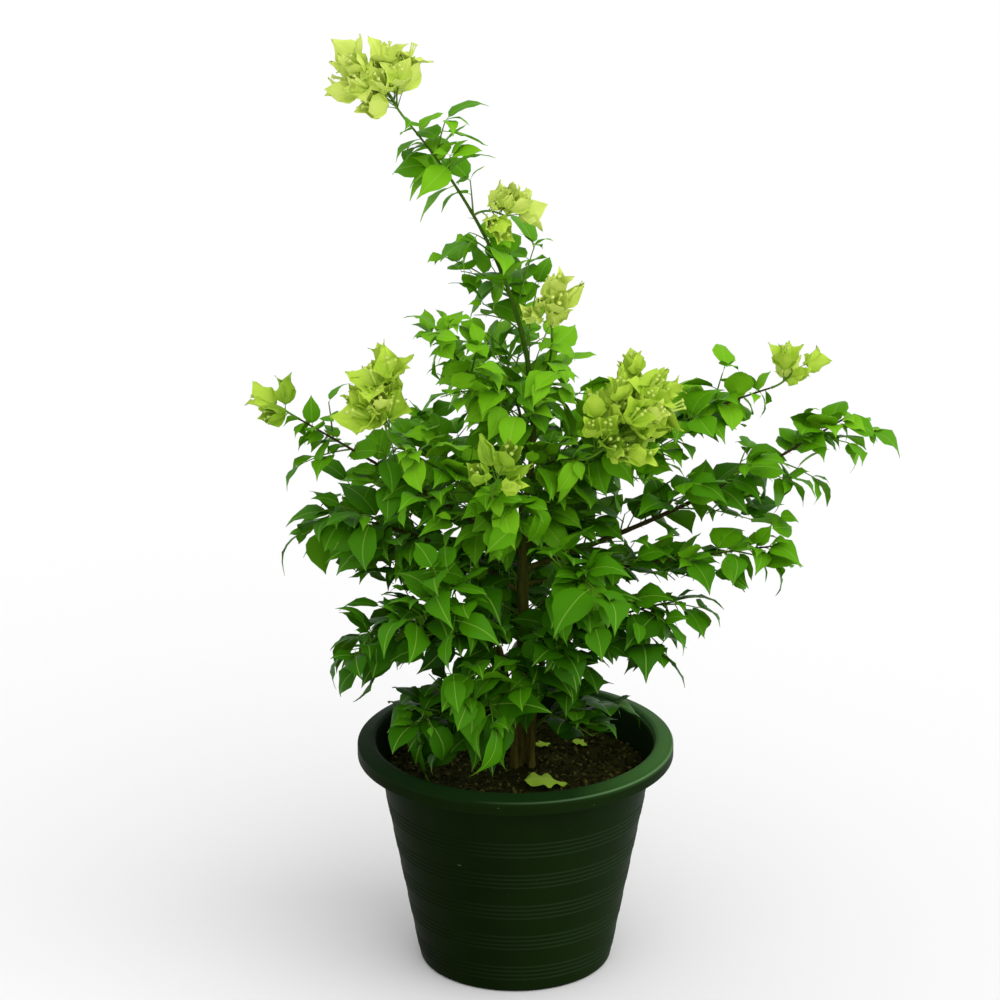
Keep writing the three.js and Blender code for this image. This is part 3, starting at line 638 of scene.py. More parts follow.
# %% [markdown]
# Anything that is strewn or repeated uses one kind of Geometry Nodes tree. Points carry where each copy
# goes: its turn, its size and which of the drawn shapes it takes. The tree instances the shapes on the
# points, makes them real mesh and gives each of their parts its material.

# %% Tree nodes
def tree_node(tree, kind, settings=None, **inputs):
    """Adds a node to a geometry tree, with its settings first and then its constant inputs."""
    made = tree.nodes.new(kind)
    for name, value in (settings or {}).items():
        setattr(made, name, value)
    for name, value in inputs.items():
        made.inputs[name.replace("_", " ")].default_value = value
    return made


def attribute_node(tree, name, kind):
    made = tree_node(tree, "GeometryNodeInputNamedAttribute", {"data_type": kind})
    made.inputs["Name"].default_value = name
    return made.outputs["Attribute"]


def set_parts(tree, geometry, finishes):
    """Each part of the shapes, by its number, takes its own material."""
    for number, finish in enumerate(finishes):
        setter = tree_node(tree, "GeometryNodeSetMaterial")
        setter.inputs["Material"].default_value = finish.material
        tree.links.new(geometry, setter.inputs["Geometry"])
        if len(finishes) > 1:
            same = tree_node(tree, "FunctionNodeCompare", {"data_type": "INT", "operation": "EQUAL"})
            tree.links.new(attribute_node(tree, "part", "INT"), same.inputs[2])
            same.inputs[3].default_value = number
            tree.links.new(same.outputs["Result"], setter.inputs["Selection"])
        geometry = setter.outputs["Geometry"]
    return geometry


print("each part of a shape takes its own material")

# %% Trees and the shapes they copy
def new_tree(name, *inputs):
    """An empty geometry tree with a geometry input and output, and named inputs for its sizes."""
    tree = bpy.data.node_groups.new(name, "GeometryNodeTree")
    tree.interface.new_socket("Geometry", in_out="INPUT", socket_type="NodeSocketGeometry")
    for label, kind, value in inputs:
        socket = tree.interface.new_socket(label, in_out="INPUT", socket_type=kind)
        if value is not None:
            socket.default_value = value
    tree.interface.new_socket("Geometry", in_out="OUTPUT", socket_type="NodeSocketGeometry")
    return tree, tree.nodes.new("NodeGroupInput"), tree.nodes.new("NodeGroupOutput")


def finish_tree(tree, points, given, turn, size, finishes, result, index=None):
    """Ends a tree: copies of the given shapes on the points, made real and in their materials."""
    shapes = tree_node(tree, "GeometryNodeCollectionInfo", Separate_Children=True, Reset_Children=True)
    copies = tree_node(tree, "GeometryNodeInstanceOnPoints", Pick_Instance=True)
    real = tree_node(tree, "GeometryNodeRealizeInstances")
    links = [
        (given.outputs["Shapes"], shapes.inputs["Collection"]),
        (shapes.outputs["Instances"], copies.inputs["Instance"]),
        (points, copies.inputs["Points"]),
        (turn, copies.inputs["Rotation"]),
        (size, copies.inputs["Scale"]),
        (copies.outputs["Instances"], real.inputs["Geometry"]),
        (set_parts(tree, real.outputs["Geometry"], finishes), result.inputs["Geometry"]),
    ]
    if index:
        links.append((index, copies.inputs["Instance Index"]))
    for source, target in links:
        tree.links.new(source, target)
    return tree


def collection_of(name, meshes):
    """A collection of hidden drawn shapes, in order, for a tree to pick from."""
    collection = bpy.data.collections.new(name)
    for number, mesh in enumerate(meshes):
        part = mesh.attributes.new("part", "INT", "FACE")
        part.data.foreach_set("value", [face.material_index for face in mesh.polygons])
        collection.objects.link(bpy.data.objects.new(f"{name}_{number:02d}", mesh))
    return collection


def grown(holder, tree, settings, name):
    """Runs a tree on an object, and gives back what it makes as a plain mesh."""
    modifier = holder.modifiers.new(tree.name, "NODES")
    modifier.node_group = tree
    for item in tree.interface.items_tree:
        if item.in_out == "INPUT" and item.name in settings:
            modifier[item.identifier] = settings[item.name]
    bpy.context.view_layer.update()
    result = holder.evaluated_get(bpy.context.evaluated_depsgraph_get())
    mesh = bpy.data.meshes.new_from_object(result)
    mesh.name = name
    holder.modifiers.remove(modifier)
    return mesh


def drop_shapes(collection):
    for thing in list(collection.objects):
        bpy.data.objects.remove(thing)
    bpy.data.collections.remove(collection)


print("tree helpers ready")

# %% Tree that strews shapes over a surface
UPWARD = 0.3


def random_value(tree, kind, seed, low, high):
    """A random value for each point, between two sockets or numbers."""
    made = tree_node(tree, "FunctionNodeRandomValue", {"data_type": kind})
    at = {"FLOAT_VECTOR": 0, "FLOAT": 2}[kind]
    for socket, value in ((made.inputs[at], low), (made.inputs[at + 1], high)):
        if isinstance(value, bpy.types.NodeSocket):
            tree.links.new(value, socket)
        else:
            socket.default_value = value
    made.inputs["Seed"].default_value = seed
    return made.outputs[{"FLOAT_VECTOR": 0, "FLOAT": 1}[kind]]


def strewing_tree(name, finishes):
    """Strews the shapes over the upward faces of a surface."""
    tree, given, result = new_tree(
        name,
        ("Density", "NodeSocketFloat", 1000.0),
        ("Smallest", "NodeSocketFloat", 0.001),
        ("Largest", "NodeSocketFloat", 0.004),
        ("Lean", "NodeSocketVector", (3.0, 3.0, 3.0)),
        ("Seed", "NodeSocketInt", 1),
        ("Shapes", "NodeSocketCollection", None),
    )
    link = tree.links.new
    facing = tree_node(tree, "GeometryNodeInputNormal")
    split = tree_node(tree, "ShaderNodeSeparateXYZ")
    more = {"data_type": "FLOAT", "operation": "GREATER_THAN"}
    upward = tree_node(tree, "FunctionNodeCompare", more, B=UPWARD)
    strewn = tree_node(tree, "GeometryNodeDistributePointsOnFaces")
    link(facing.outputs[0], split.inputs[0])
    link(split.outputs["Z"], upward.inputs["A"])
    link(given.outputs["Geometry"], strewn.inputs["Mesh"])
    link(upward.outputs["Result"], strewn.inputs["Selection"])
    link(given.outputs["Density"], strewn.inputs["Density"])
    link(given.outputs["Seed"], strewn.inputs["Seed"])
    turn = random_value(tree, "FLOAT_VECTOR", 3, (0.0, 0.0, 0.0), given.outputs["Lean"])
    size = random_value(tree, "FLOAT", 4, given.outputs["Smallest"], given.outputs["Largest"])
    return finish_tree(tree, strewn.outputs["Points"], given, turn, size, finishes, result)


print("soil is strewn where its normal rises over", UPWARD)

# %% Crumb and fibre values
CRUMBS = {"Density": 48000.0, "Smallest": 1.5 * MM, "Largest": 6.5 * MM, "Lean": (3.0, 3.0, 6.0), "Seed": 11}
FIBRES = {"Density": 3000.0, "Smallest": 4 * MM, "Largest": 13 * MM, "Lean": (0.5, 0.5, 6.0), "Seed": 5}
CRUMB_SHAPES, FIBRE_SHAPES = 10, 4
CRUMB_STRETCHES = ((1, 0.8, 0.6), (1, 0.6, 0.5), (0.9, 0.9, 0.55), (1.2, 0.5, 0.35), (0.8, 0.7, 0.7))
PALE_EVERY = 5
CRUMB_DENTS, DENT_PACE, DENT_STEP = 0.6, 1.7, 3.1
FIBRE_SWAY, FIBRE_SWAYS = 0.12, 5
FIBRE_LIFT, FIBRE_LIFTS = 0.05, 4
FIBRE_RADIUS, FIBRE_TAPER = 0.03, 2.2
FIBRE_RINGS, FIBRE_SIDES = 6, 4
FIBRE_ROUGHNESS = 0.9
DARK_CRUMB = (0.013, 0.0135, 0.002)
PALE_CRUMB = (0.082, 0.076, 0.017)
FIBRE_BROWN = (0.100, 0.096, 0.024)
print("crumb shapes:", CRUMB_SHAPES, "fibre shapes:", FIBRE_SHAPES)

# %% Crumbs and fibres
def crumb(number):
    """A small rough lump: a ball of twenty faces, stretched, with its points pushed in and out."""
    stretch = CRUMB_STRETCHES[number % len(CRUMB_STRETCHES)]
    built = bmesh.new()
    bmesh.ops.create_icosphere(built, subdivisions=1, radius=0.5)
    for point in built.verts:
        spot = point.co * DENT_PACE + Vector((number * DENT_STEP, number, 0))
        push = 1 + CRUMB_DENTS * noise.noise(spot)
        point.co = Vector(c * s for c, s in zip(point.co, stretch)) * push
    for face in built.faces:
        face.material_index = 0 if number % PALE_EVERY else 1
    mesh = bpy.data.meshes.new("crumb")
    built.to_mesh(mesh)
    built.free()
    return mesh


def fibre(number):
    """A thin bent shred of bark or root, one unit long."""
    shape = Shape()
    shares = np.linspace(-0.5, 0.5, FIBRE_RINGS)
    sway = FIBRE_SWAY * np.sin(shares * FIBRE_SWAYS + number)
    lift = FIBRE_LIFT * np.cos(shares * FIBRE_LIFTS + number)
    centres = np.stack([shares, sway, lift], axis=1)
    tube(shape, centres, FIBRE_RADIUS * np.cos(shares * FIBRE_TAPER), FIBRE_SIDES)
    return shape.mesh("fibre")


def strew(name, drawn, finishes, settings):
    """Strews drawn shapes over the soil, as one piece."""
    shapes = collection_of(name, drawn)
    mesh = grown(soil, strewing_tree("strew " + name, finishes), {**settings, "Shapes": shapes}, name)
    piece(name, mesh, finishes, [])
    drop_shapes(shapes)


dark_crumbs = Finish("dark crumbs", DARK_CRUMB, SOIL_ROUGHNESS, SOIL_GLOSS)
pale_crumbs = Finish("pale crumbs", PALE_CRUMB, SOIL_ROUGHNESS, SOIL_GLOSS)
fibre_finish = Finish("fibres", FIBRE_BROWN, FIBRE_ROUGHNESS, SOIL_GLOSS)
strew("soil_crumbs", [crumb(i) for i in range(CRUMB_SHAPES)], [dark_crumbs, pale_crumbs], CRUMBS)
strew("soil_fibres", [fibre(i) for i in range(FIBRE_SHAPES)], [fibre_finish], FIBRES)

# %% [markdown]
# The growth rule is the part's own, written again. A limb leaves its parent in a stated direction and ends
# at its tip; a leafy shoot sets a leaf and a side twig at each node, turned on by the golden angle; and
# whatever would leave the shoot's space, or run into wood or pot, is turned, shortened or left out. The
# tables below are in millimetres and degrees, as in the part.
#
# A stem has its foot on the soil, the azimuth, reach and height of its tip, and its radius at foot and tip.
# A shoot has its parent and the share of it where it starts, its tip, its rise at the start, the share of
# it that is bare, its radius and its leaf's length. A flowering shoot has its parent, share, tip and rise
# too, and then its number of heads and how far they stand off it.

# %% Limb tables
STEMS = [
    ("trunk", (7, 27), 70, 22, 448, 6.6, 4.9),
    ("stem_left", (-1, 12), 205, 17, 319, 3.5, 2.7),
    ("stem_right", (15, 13), -12, 27, 311, 3.3, 2.6),
]
SHOOTS = [
    ("leader", "trunk", 0.985, 176, 98, 825, 78, 0.32, 4.3, 66),
    ("high_left", "leader", 0.18, 186, 72, 630, 46, 0.13, 2.3, 54),
    ("high_right", "leader", 0.28, 8, 34, 618, 52, 0.11, 2.2, 56),
    ("crown_left", "trunk", 0.9, 200, 112, 528, 46, 0.13, 3.0, 66),
    ("far_left", "trunk", 0.83, 178, 200, 540, 34, 0.14, 3.1, 58),
    ("mid_left", "trunk", 0.66, 172, 176, 440, 40, 0.12, 3.0, 70),
    ("low_left", "stem_left", 0.93, 196, 142, 345, 34, 0.1, 2.5, 72),
    ("rim_left", "stem_left", 0.42, 222, 124, 272, 38, 0.12, 2.2, 70),
    ("front_left", "stem_left", 0.8, 236, 132, 412, 52, 0.11, 2.5, 76),
    ("front_low", "stem_right", 0.5, 246, 108, 306, 48, 0.1, 2.2, 76),
    ("front_high", "trunk", 0.87, 258, 100, 502, 55, 0.13, 2.7, 66),
    ("front_right", "stem_right", 0.9, 300, 128, 434, 55, 0.11, 2.5, 74),
    ("low_right", "stem_right", 0.97, -10, 152, 372, 42, 0.12, 2.4, 62),
    ("rim_right", "stem_right", 0.3, -24, 58, 274, 50, 0.12, 2.0, 60),
    ("mid_right", "trunk", 0.7, -7, 240, 428, 16, 0.2, 2.8, 54),
    ("long_right", "trunk", 0.76, 3, 306, 538, 20, 0.3, 3.8, 62),
    ("high_long_right", "trunk", 0.94, 8, 240, 562, 42, 0.13, 3.2, 64),
    ("crown_right", "leader", 0.06, -40, 74, 520, 58, 0.12, 2.8, 62),
    ("back_high", "leader", 0.12, 96, 100, 577, 50, 0.11, 2.6, 66),
    ("back_left", "trunk", 0.79, 132, 152, 486, 42, 0.12, 2.9, 72),
    ("back_right", "trunk", 0.82, 48, 154, 480, 42, 0.12, 2.9, 72),
    ("back_low", "trunk", 0.5, 92, 140, 356, 40, 0.12, 2.7, 74),
]
BLOOMS = [
    ("bloom_top", "leader", 1, 173, 124, 866, 0, 20, 38),
    ("bloom_leader_mid", "leader", 0.76, 190, 8, 738, 40, 6, 22),
    ("bloom_leader_low", "high_right", 1, 0, 26, 656, 0, 8, 22),
    ("bloom_left", "crown_left", 1, 192, 106, 606, 0, 14, 34),
    ("bloom_right", "crown_right", 1, -16, 126, 584, 0, 20, 40),
    ("bloom_front", "front_high", 1, 262, 108, 526, 0, 4, 20),
    ("bloom_far_left", "far_left", 1, 178, 218, 552, 0, 3, 14),
    ("bloom_far_right", "high_long_right", 1, 9, 262, 576, 0, 6, 26),
]
LEADER_HEADING = 5
HANDLE = 0.5
GAP = 0.3
BLOOM_STEM_RADIUS = 2.15
SHOOT_TIP_RADIUS = 1.65
SHOOT_STEP = 42
LENGTH_STEPS = 200
FLARE_HEIGHT = 26
FLARE_SHARE = 0.45
print(len(STEMS), "stems,", len(SHOOTS), "leafy shoots,", len(BLOOMS), "flowering shoots")

# %% Seeded numbers and directions
MODULUS = 2 ** 32
START_FACTOR, START_STEP = 7919, 104729
FACTOR, STEP = 1664525, 1013904223
NAME_START, NAME_FACTOR, NAME_MODULUS = 7, 31, 65521


def seeded(start):
    """The same numbers every time: a linear congruential generator with a stated start."""
    state = (start * START_FACTOR + START_STEP) % MODULUS
    while True:
        state = (state * FACTOR + STEP) % MODULUS
        yield state / MODULUS


def seed_of(name):
    total = NAME_START
    for letter in name:
        total = (total * NAME_FACTOR + ord(letter)) % NAME_MODULUS
    return total


def between(span, random):
    return span[0] + (span[1] - span[0]) * next(random)


def unit(vector):
    return vector / np.linalg.norm(vector)


def polar(azimuth, reach, height):
    return np.array([reach * math.cos(azimuth * DEGREE), reach * math.sin(azimuth * DEGREE), height])


def aside(direction, turn):
    """A unit vector at right angles to a direction, turned round it by an angle."""
    reference = UP if abs(direction[2]) < NEARLY_UPRIGHT else ACROSS
    first = unit(np.cross(direction, reference))
    return first * math.cos(turn) + np.cross(direction, first) * math.sin(turn)


def turned(vector, axis, angle):
    """The vector turned round a unit axis."""
    cross = np.cross(axis, vector)
    kept = axis * axis.dot(vector) * (1 - math.cos(angle))
    return vector * math.cos(angle) + cross * math.sin(angle) + kept


print("seed of leader:", seed_of("leader"))

# %% Limbs
class Limb:
    """A stem or a shoot: a curve with one control point, its radius, and how much of it is bare wood."""

    def __init__(self, name, start, control, tip, thick, thin, bare=1.0, leaf=0, heads=0, spread=0):
        self.name = name
        self.corners = (start, control, tip)
        self.thick, self.thin, self.bare = thick, thin, bare
        self.leaf, self.heads, self.spread = leaf, heads, spread
        steps = np.diff(self.points(np.linspace(0, 1, LENGTH_STEPS + 1)), axis=0)
        self.length = float(np.linalg.norm(steps, axis=1).sum())
        self.leafy_length = self.length * (1 - bare)
        self.leafy_from = bare + GAP / self.length if bare > 0 else 0.0
        self.runs = max(2, round(self.leafy_length / SHOOT_STEP))

    def leafy_at(self, share):
        """Where a share of the leafy part lies on the whole limb."""
        return self.bare + (1 - self.bare) * share

    def points(self, shares):
        t = np.asarray(shares, dtype=float)[..., None]
        start, control, tip = self.corners
        return (1 - t) ** 2 * start + 2 * t * (1 - t) * control + t * t * tip

    def along(self, t):
        start, control, tip = self.corners
        return unit((1 - t) * (control - start) + t * (tip - control))

    def radius(self, t):
        return self.thick + (self.thin - self.thick) * t

    def node(self, t):
        """A point on the straight run between two rings of the part's own stem."""
        run = (1 - self.leafy_from) / self.runs
        ring = min(self.runs - 1, max(0, math.floor((t - self.leafy_from) / run)))
        low = self.leafy_from + ring * run
        first, second = self.points([low, low + run])
        return first + (second - first) * (t - low) / run


print("a limb is a curve with one control point")

# %% Limbs from the tables
limbs = {}
for name, foot, azimuth, reach, tip_height, radius, tip_radius in STEMS:
    start = np.array([foot[0], foot[1], SOIL_LEVEL + GAP])
    tip = polar(azimuth, reach, tip_height)
    control = start + UP * HANDLE * np.linalg.norm(tip - start)
    limbs[name] = Limb(name, start, control, tip, radius, tip_radius)

for row in [*SHOOTS, *BLOOMS]:
    name, parent, at, azimuth, reach, tip_height, rise, *rest = row
    tip = polar(azimuth, reach, tip_height)
    start = limbs[parent].points(at)
    grown_on = at == 1
    if grown_on:
        direction = limbs[parent].along(1)
        start = start + direction * GAP
    else:
        heading = math.atan2(tip[1] - start[1], tip[0] - start[0]) / DEGREE
        heading = LEADER_HEADING if name == "leader" else heading
        direction = polar(heading, math.cos(rise * DEGREE), math.sin(rise * DEGREE))
    control = start + direction * HANDLE * np.linalg.norm(tip - start)
    if row in BLOOMS:
        bare, (heads, spread), leaf = 0.0, rest, 0
        thick = SHOOT_TIP_RADIUS if grown_on else BLOOM_STEM_RADIUS
    else:
        (bare, thick, leaf), heads, spread = rest, 0, 0
    limbs[name] = Limb(name, start, control, tip, thick, SHOOT_TIP_RADIUS, bare, leaf, heads, spread)
print(len(limbs), "limbs; the leader is", round(limbs["leader"].length), "mm long")

# %% [markdown]
# A shoot's space is every point nearer its own line than any other shoot's, within reach of it, and clear
# of the wood and the pot. From the front the soil, the stems and a bit of the trunk show through two gaps
# in the leaves, so those stay open too. Testing points one by one in Python is slow, so a whole leaf's
# points are tested at once against all lines with arrays.

# %% The space of each shoot
SPACE_RADIUS = 92
SPACE_MARGIN = 2
LIMB_CLEARANCE = 1.6
POT_CLEARANCE = 4
LINE_STEPS = 8
BOX_MARGIN = 3
VIEW_SLOPE = math.tan(CAMERA_DIP)
OPEN_VIEWS = {"soil and stems": (-6, 150, 0, 224, 100), "trunk": (0, 26, 345, 408, 10)}
shares = np.linspace(0, 1, LINE_STEPS + 1)
leafy = [limb for limb in limbs.values() if limb.bare < 1]
wooden = [limb for limb in limbs.values() if limb.bare > 0]
shoot_lines = np.array([limb.points(limb.leafy_at(shares)) for limb in leafy])
wood_lines = np.array([limb.points(limb.bare * shares) for limb in wooden])
wood_reach = np.array([limb.thick + LIMB_CLEARANCE for limb in wooden])
shoot_number = {limb.name: number for number, limb in enumerate(leafy)}
bloom_on_end = {row[1]: row[0] for row in BLOOMS if row[2] == 1}
node_boxes = {}
for limb in leafy:
    low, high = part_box(limb.name if limb.heads else "foliage_" + limb.name)
    node_boxes[limb.name] = (np.array(low) / MM - BOX_MARGIN, np.array(high) / MM + BOX_MARGIN)
print(len(leafy), "spaces and", len(wooden), "limbs of bare wood")

# %% Tests for a point
def distances(points, lines):
    """The distance of each point from each line of straight steps."""
    run = lines[:, 1:] - lines[:, :-1]
    offset = points[:, None, None] - lines[:, :-1]
    share = np.clip((offset * run).sum(-1) / (run * run).sum(-1), 0, 1)
    miss = offset - share[..., None] * run
    return np.sqrt((miss * miss).sum(-1)).min(-1)


def in_box(points, low, high):
    return not ((points < low).any() or (points > high).any())


def clear_of_wood(points):
    return not (distances(points, wood_lines) < wood_reach).any()


def above_pot(points):
    """Whether all the points stay clear of the soil and of the pot's rim."""
    radial = np.hypot(points[:, 0], points[:, 1])
    inside_wall = radial < wall_radius(SOIL_LEVEL) - WALL - POT_CLEARANCE
    over_rim = ~inside_wall & (radial < RIM_RADIUS + POT_CLEARANCE)
    lowest = np.where(inside_wall, SOIL_LEVEL + POT_CLEARANCE, POT_HEIGHT / 2)
    lowest = np.where(over_rim, POT_HEIGHT + POT_CLEARANCE, lowest)
    return bool((points[:, 2] > lowest).all())


def leaves_view_open(points):
    """Whether the points stay out of the gaps through which the front view shows the soil and the trunk.

    A gap has its left and right sides, its lowest and highest line of sight where that crosses the middle
    of the bush, and how far back it goes."""
    level = points[:, 2] + VIEW_SLOPE * points[:, 1]
    for left, right, low, high, back in OPEN_VIEWS.values():
        inside = (points[:, 0] > left) & (points[:, 0] < right) & (level > low) & (level < high)
        if (inside & (points[:, 1] < back)).any():
            return False
    return True


def is_free(points, name, shared):
    """Whether all the points lie in the shoot's own space, or in that of a shoot that shares with it."""
    to_shoots = distances(points, shoot_lines)
    own = to_shoots[:, shoot_number[name]].copy()
    to_shoots[:, [shoot_number[name], *shared]] = np.inf
    if (own > SPACE_RADIUS).any() or (to_shoots < own[:, None] + SPACE_MARGIN).any():
        return False
    return clear_of_wood(points) and above_pot(points) and leaves_view_open(points)


print("a point on the trunk is free:", clear_of_wood(limbs["trunk"].points([0.5])))

# %% [markdown]
# A leaf stands out from its twig, tips forward along it and droops in an arc. The rule tries six turns
# before it gives up. Real leaves fill a crown because each node carries more than the part's solids can
# afford, so once the part's own leaves are set, the rule goes on at a finer scale: small twigs leave the
# side twigs, and each shoot ends in a tuft of young leaves.

# %% Growth values
INTERNODE = 21
SEED_STEP = 97
FIRST_NODE, LAST_NODE = 0.03, 0.98
NODE_TURN = 0.6
TRIES = 6
TRY_TURN = 75 * DEGREE
TRY_SHRINK = 0.05
LEAF_WIDTH = 0.7
LEAF_APART = 5
FINE_APART = 3.2
LEAF_OUTWARD, LEAF_FORWARD, TIP_LEAF_FORWARD = 0.85, 0.45, 1.4
LEAF_LIFT = (-0.4, 0.4)
LEAF_DROOP = (30 * DEGREE, 90 * DEGREE)
LEAF_SIZE = (0.84, 1.14)
LEAF_ROLL = (-0.7, 0.7)
LEAF_DWINDLE = 0.24
TWIG_INTERNODE = 17
TWIG_LENGTH = (46, 92)
TWIG_DWINDLE = 0.45
TWIG_OFFSET = 0.4
TWIG_TURN = (0.75 * math.pi, 1.25 * math.pi)
TWIG_OUTWARD, TWIG_FORWARD = 0.8, 0.65
TWIG_LIFT = (0.05, 0.4)
TWIG_SAG, TWIG_SHRINK = 0.1, 0.1
TWIG_LEAF_SIZE, TWIG_LEAF_DWINDLE = 0.96, 0.2
TWIG_FIRST_LEAF, TWIG_LAST_LEAF = 0.22, 0.97
TWIG_TEST_SHARES = np.array([[0.35], [0.6], [0.8], [1.0]])
LEAF_TEST_SHARES = np.array([0.3, 0.45, 0.6, 0.8, 1.0])
LEAF_TEST_WIDTHS = np.sin(math.pi * np.sqrt(LEAF_TEST_SHARES[:-1])) * LEAF_WIDTH / 2
print("a node every", INTERNODE, "mm, and", TRIES, "tries for each leaf")

# %% Sprays
class Spray:
    """What grows in one space: its leaves, its twigs, and the points that they take up."""

    def __init__(self, limb, apart):
        self.limb = limb
        self.apart = apart
        self.leaves = []
        self.twigs = []
        self.taken = np.empty((0, 3))
        self.keep_inside = False
        self.shared = []

    def fits(self, points):
        if self.keep_inside and not in_box(points, *node_boxes[self.limb.name]):
            return False
        return is_free(points, self.limb.name, self.shared) and self.is_apart(points)

    def is_apart(self, points):
        gaps = points[:, None] - self.taken
        return bool(((gaps * gaps).sum(-1) > self.apart ** 2).all())

    def take(self, points):
        self.taken = np.concatenate([self.taken, points])


print("a new spray has", len(Spray(leafy[0], LEAF_APART).leaves), "leaves")

# %% Leaves
def midrib(leaf, share):
    """The point of a leaf's middle line at a share of its length: an arc towards its back."""
    bend = leaf["droop"]
    forward = leaf["length"] * np.sin(bend * share) / bend
    back = leaf["length"] * (1 - np.cos(bend * share)) / bend
    return leaf["base"] + leaf["along"] * forward[..., None] - leaf["normal"] * back[..., None]


def leaf_points(leaf):
    """The points of a leaf that are tested: along its midrib and both edges."""
    middle = midrib(leaf, LEAF_TEST_SHARES)
    half = (LEAF_TEST_WIDTHS * leaf["length"])[:, None] * leaf["side"]
    return np.concatenate([middle, middle[:-1] + half, middle[:-1] - half])


def add_leaf(spray, base, along, turn, forward, length, random, age):
    """Turns a leaf round its twig until it fits, or leaves it out."""
    lift = between(LEAF_LIFT, random)
    droop = between(LEAF_DROOP, random)
    size = length * between(LEAF_SIZE, random)
    roll = between(LEAF_ROLL, random)
    for attempt in range(TRIES):
        direction = aside(along, turn + attempt * TRY_TURN) * LEAF_OUTWARD
        direction = unit(direction + along * forward + UP * lift)
        side = turned(unit(np.cross(direction, UP)), direction, roll)
        leaf = {"base": base, "along": direction, "side": side, "normal": np.cross(side, direction),
                "length": size * (1 - TRY_SHRINK * attempt), "droop": droop, "age": age}
        points = leaf_points(leaf)
        if spray.fits(points):
            spray.take(points)
            spray.leaves.append(leaf)
            return leaf
    return None


print("leaves are tested at", 3 * len(LEAF_TEST_SHARES) - 2, "points")

# %% Twigs
def add_twig(spray, node, along, turn, length, leaf_length, random, age):
    """Turns and shortens a side twig until it fits, then sets its leaves."""
    lift = between(TWIG_LIFT, random)
    leaf_turn = next(random) * FULL_TURN
    for attempt in range(TRIES):
        direction = aside(along, turn + attempt * TRY_TURN) * TWIG_OUTWARD
        direction = unit(direction + along * TWIG_FORWARD + UP * lift)
        reach = length * (1 - TWIG_SHRINK * attempt)
        tip = node + direction * reach - UP * TWIG_SAG * reach
        points = node + (tip - node) * TWIG_TEST_SHARES
        if not spray.fits(points):
            continue
        spray.take(points)
        ahead = unit(tip - node)
        count = max(2, round(reach / TWIG_INTERNODE))
        twig = {"root": node, "tip": tip, "leaves": [], "age": age, "fine": spray.keep_inside}
        for number in range(1, count + 1):
            t = TWIG_FIRST_LEAF + (TWIG_LAST_LEAF - TWIG_FIRST_LEAF) * number / count
            forward = TIP_LEAF_FORWARD if number == count else LEAF_FORWARD
            size = leaf_length * (1 - TWIG_LEAF_DWINDLE * number / count)
            leaf_turn += GOLDEN_ANGLE
            leaf = add_leaf(spray, node + (tip - node) * t, ahead, leaf_turn, forward, size, random, age)
            if leaf:
                twig["leaves"].append(leaf)
        if twig["leaves"]:
            spray.twigs.append(twig)
        return twig
    return None


print("twigs are", TWIG_LENGTH, "mm long at the foot of a shoot")

# %% The part's own growth
def grow_part_leaves(limb):
    """The part's own leaves and twigs on one shoot."""
    spray = Spray(limb, LEAF_APART)
    count = max(4, round(limb.leafy_length / INTERNODE))
    for k in range(1, count + 1):
        random = seeded(seed_of(limb.name) + SEED_STEP * k)
        share = k / count
        t = limb.leafy_at(FIRST_NODE + (LAST_NODE - FIRST_NODE) * share)
        along = limb.along(t)
        turn = k * GOLDEN_ANGLE + next(random) * NODE_TURN
        size = limb.leaf * (1 - LEAF_DWINDLE * share)
        forward = TIP_LEAF_FORWARD if k == count else LEAF_FORWARD
        add_leaf(spray, limb.node(t), along, turn, forward, size, random, share)
        if k == count:
            continue
        opposite = turn + between(TWIG_TURN, random)
        length = between(TWIG_LENGTH, random) * (1 - TWIG_DWINDLE * share)
        node = limb.node(t + TWIG_OFFSET * (1 - limb.bare) / count)
        add_twig(spray, node, along, opposite, length, size * TWIG_LEAF_SIZE, random, share)
    return spray


def count_leaves(sprays):
    return sum(len(spray.leaves) for spray in sprays)


def count_twigs(sprays):
    return sum(len(spray.twigs) for spray in sprays)


sprays = [grow_part_leaves(limb) for limb in leafy if not limb.heads]
part_leaves = count_leaves(sprays)
print(part_leaves, "leaves and", count_twigs(sprays), "twigs")

# %% Finer growth values
FINE_TWIG_PLACE = 0.45
FINE_TWIG_LENGTH = (24, 44)
FINE_LEAF_SHARE = 0.74
AXIL_LEAF_SHARE = 0.88
INNER_TWIGS_PER_NODE = 1.6
INNER_TWIG_LENGTH = (30, 78)
INNER_LEAF_SHARE = 0.84
INNER_REACH = 0.62
BACK_TWIGS = 6
FULLNESS = {"long_right": 0.2, "mid_right": 0.35, "high_long_right": 0.5, "leader": 0.45, "low_right": 0.5,
            "far_left": 0.7, "crown_right": 1.6, "back_right": 1.6, "back_left": 1.5, "front_high": 1.4,
            "back_low": 1.5, "back_high": 1.4, "rim_right": 0.1, "rim_left": 0.5, "front_low": 0.8}
TUFT_LEAVES = 3
TUFT_LEAF_LENGTH = (15, 31)
END_LEAVES = 12
END_REACH = 0.22
END_LEAF_LENGTH = (20, 40)
AXIL_PLACE, AXIL_TURN = 0.55, 2.0
BACK_SPAN = 0.12
INNER_CROWDING = 1.4
TUFT_FORWARD, END_FORWARD = 0.9, 0.6
FINE_TWIG_AGE, TWIG_TUFT_AGE, TIP_TUFT_AGE = 0.2, 1.3, 1.4
TIP = 0.995
FINE_SEED = 5


print("shoots fuller or thinner than the rest:", len(FULLNESS))

# %% Finer growth
def add_tuft(spray, tip, along, random, age):
    """Young leaves round the end of a shoot or twig."""
    turn = next(random) * FULL_TURN
    for number in range(TUFT_LEAVES):
        turn += GOLDEN_ANGLE
        length = between(TUFT_LEAF_LENGTH, random)
        add_leaf(spray, tip, along, turn, TUFT_FORWARD, length, random, age)


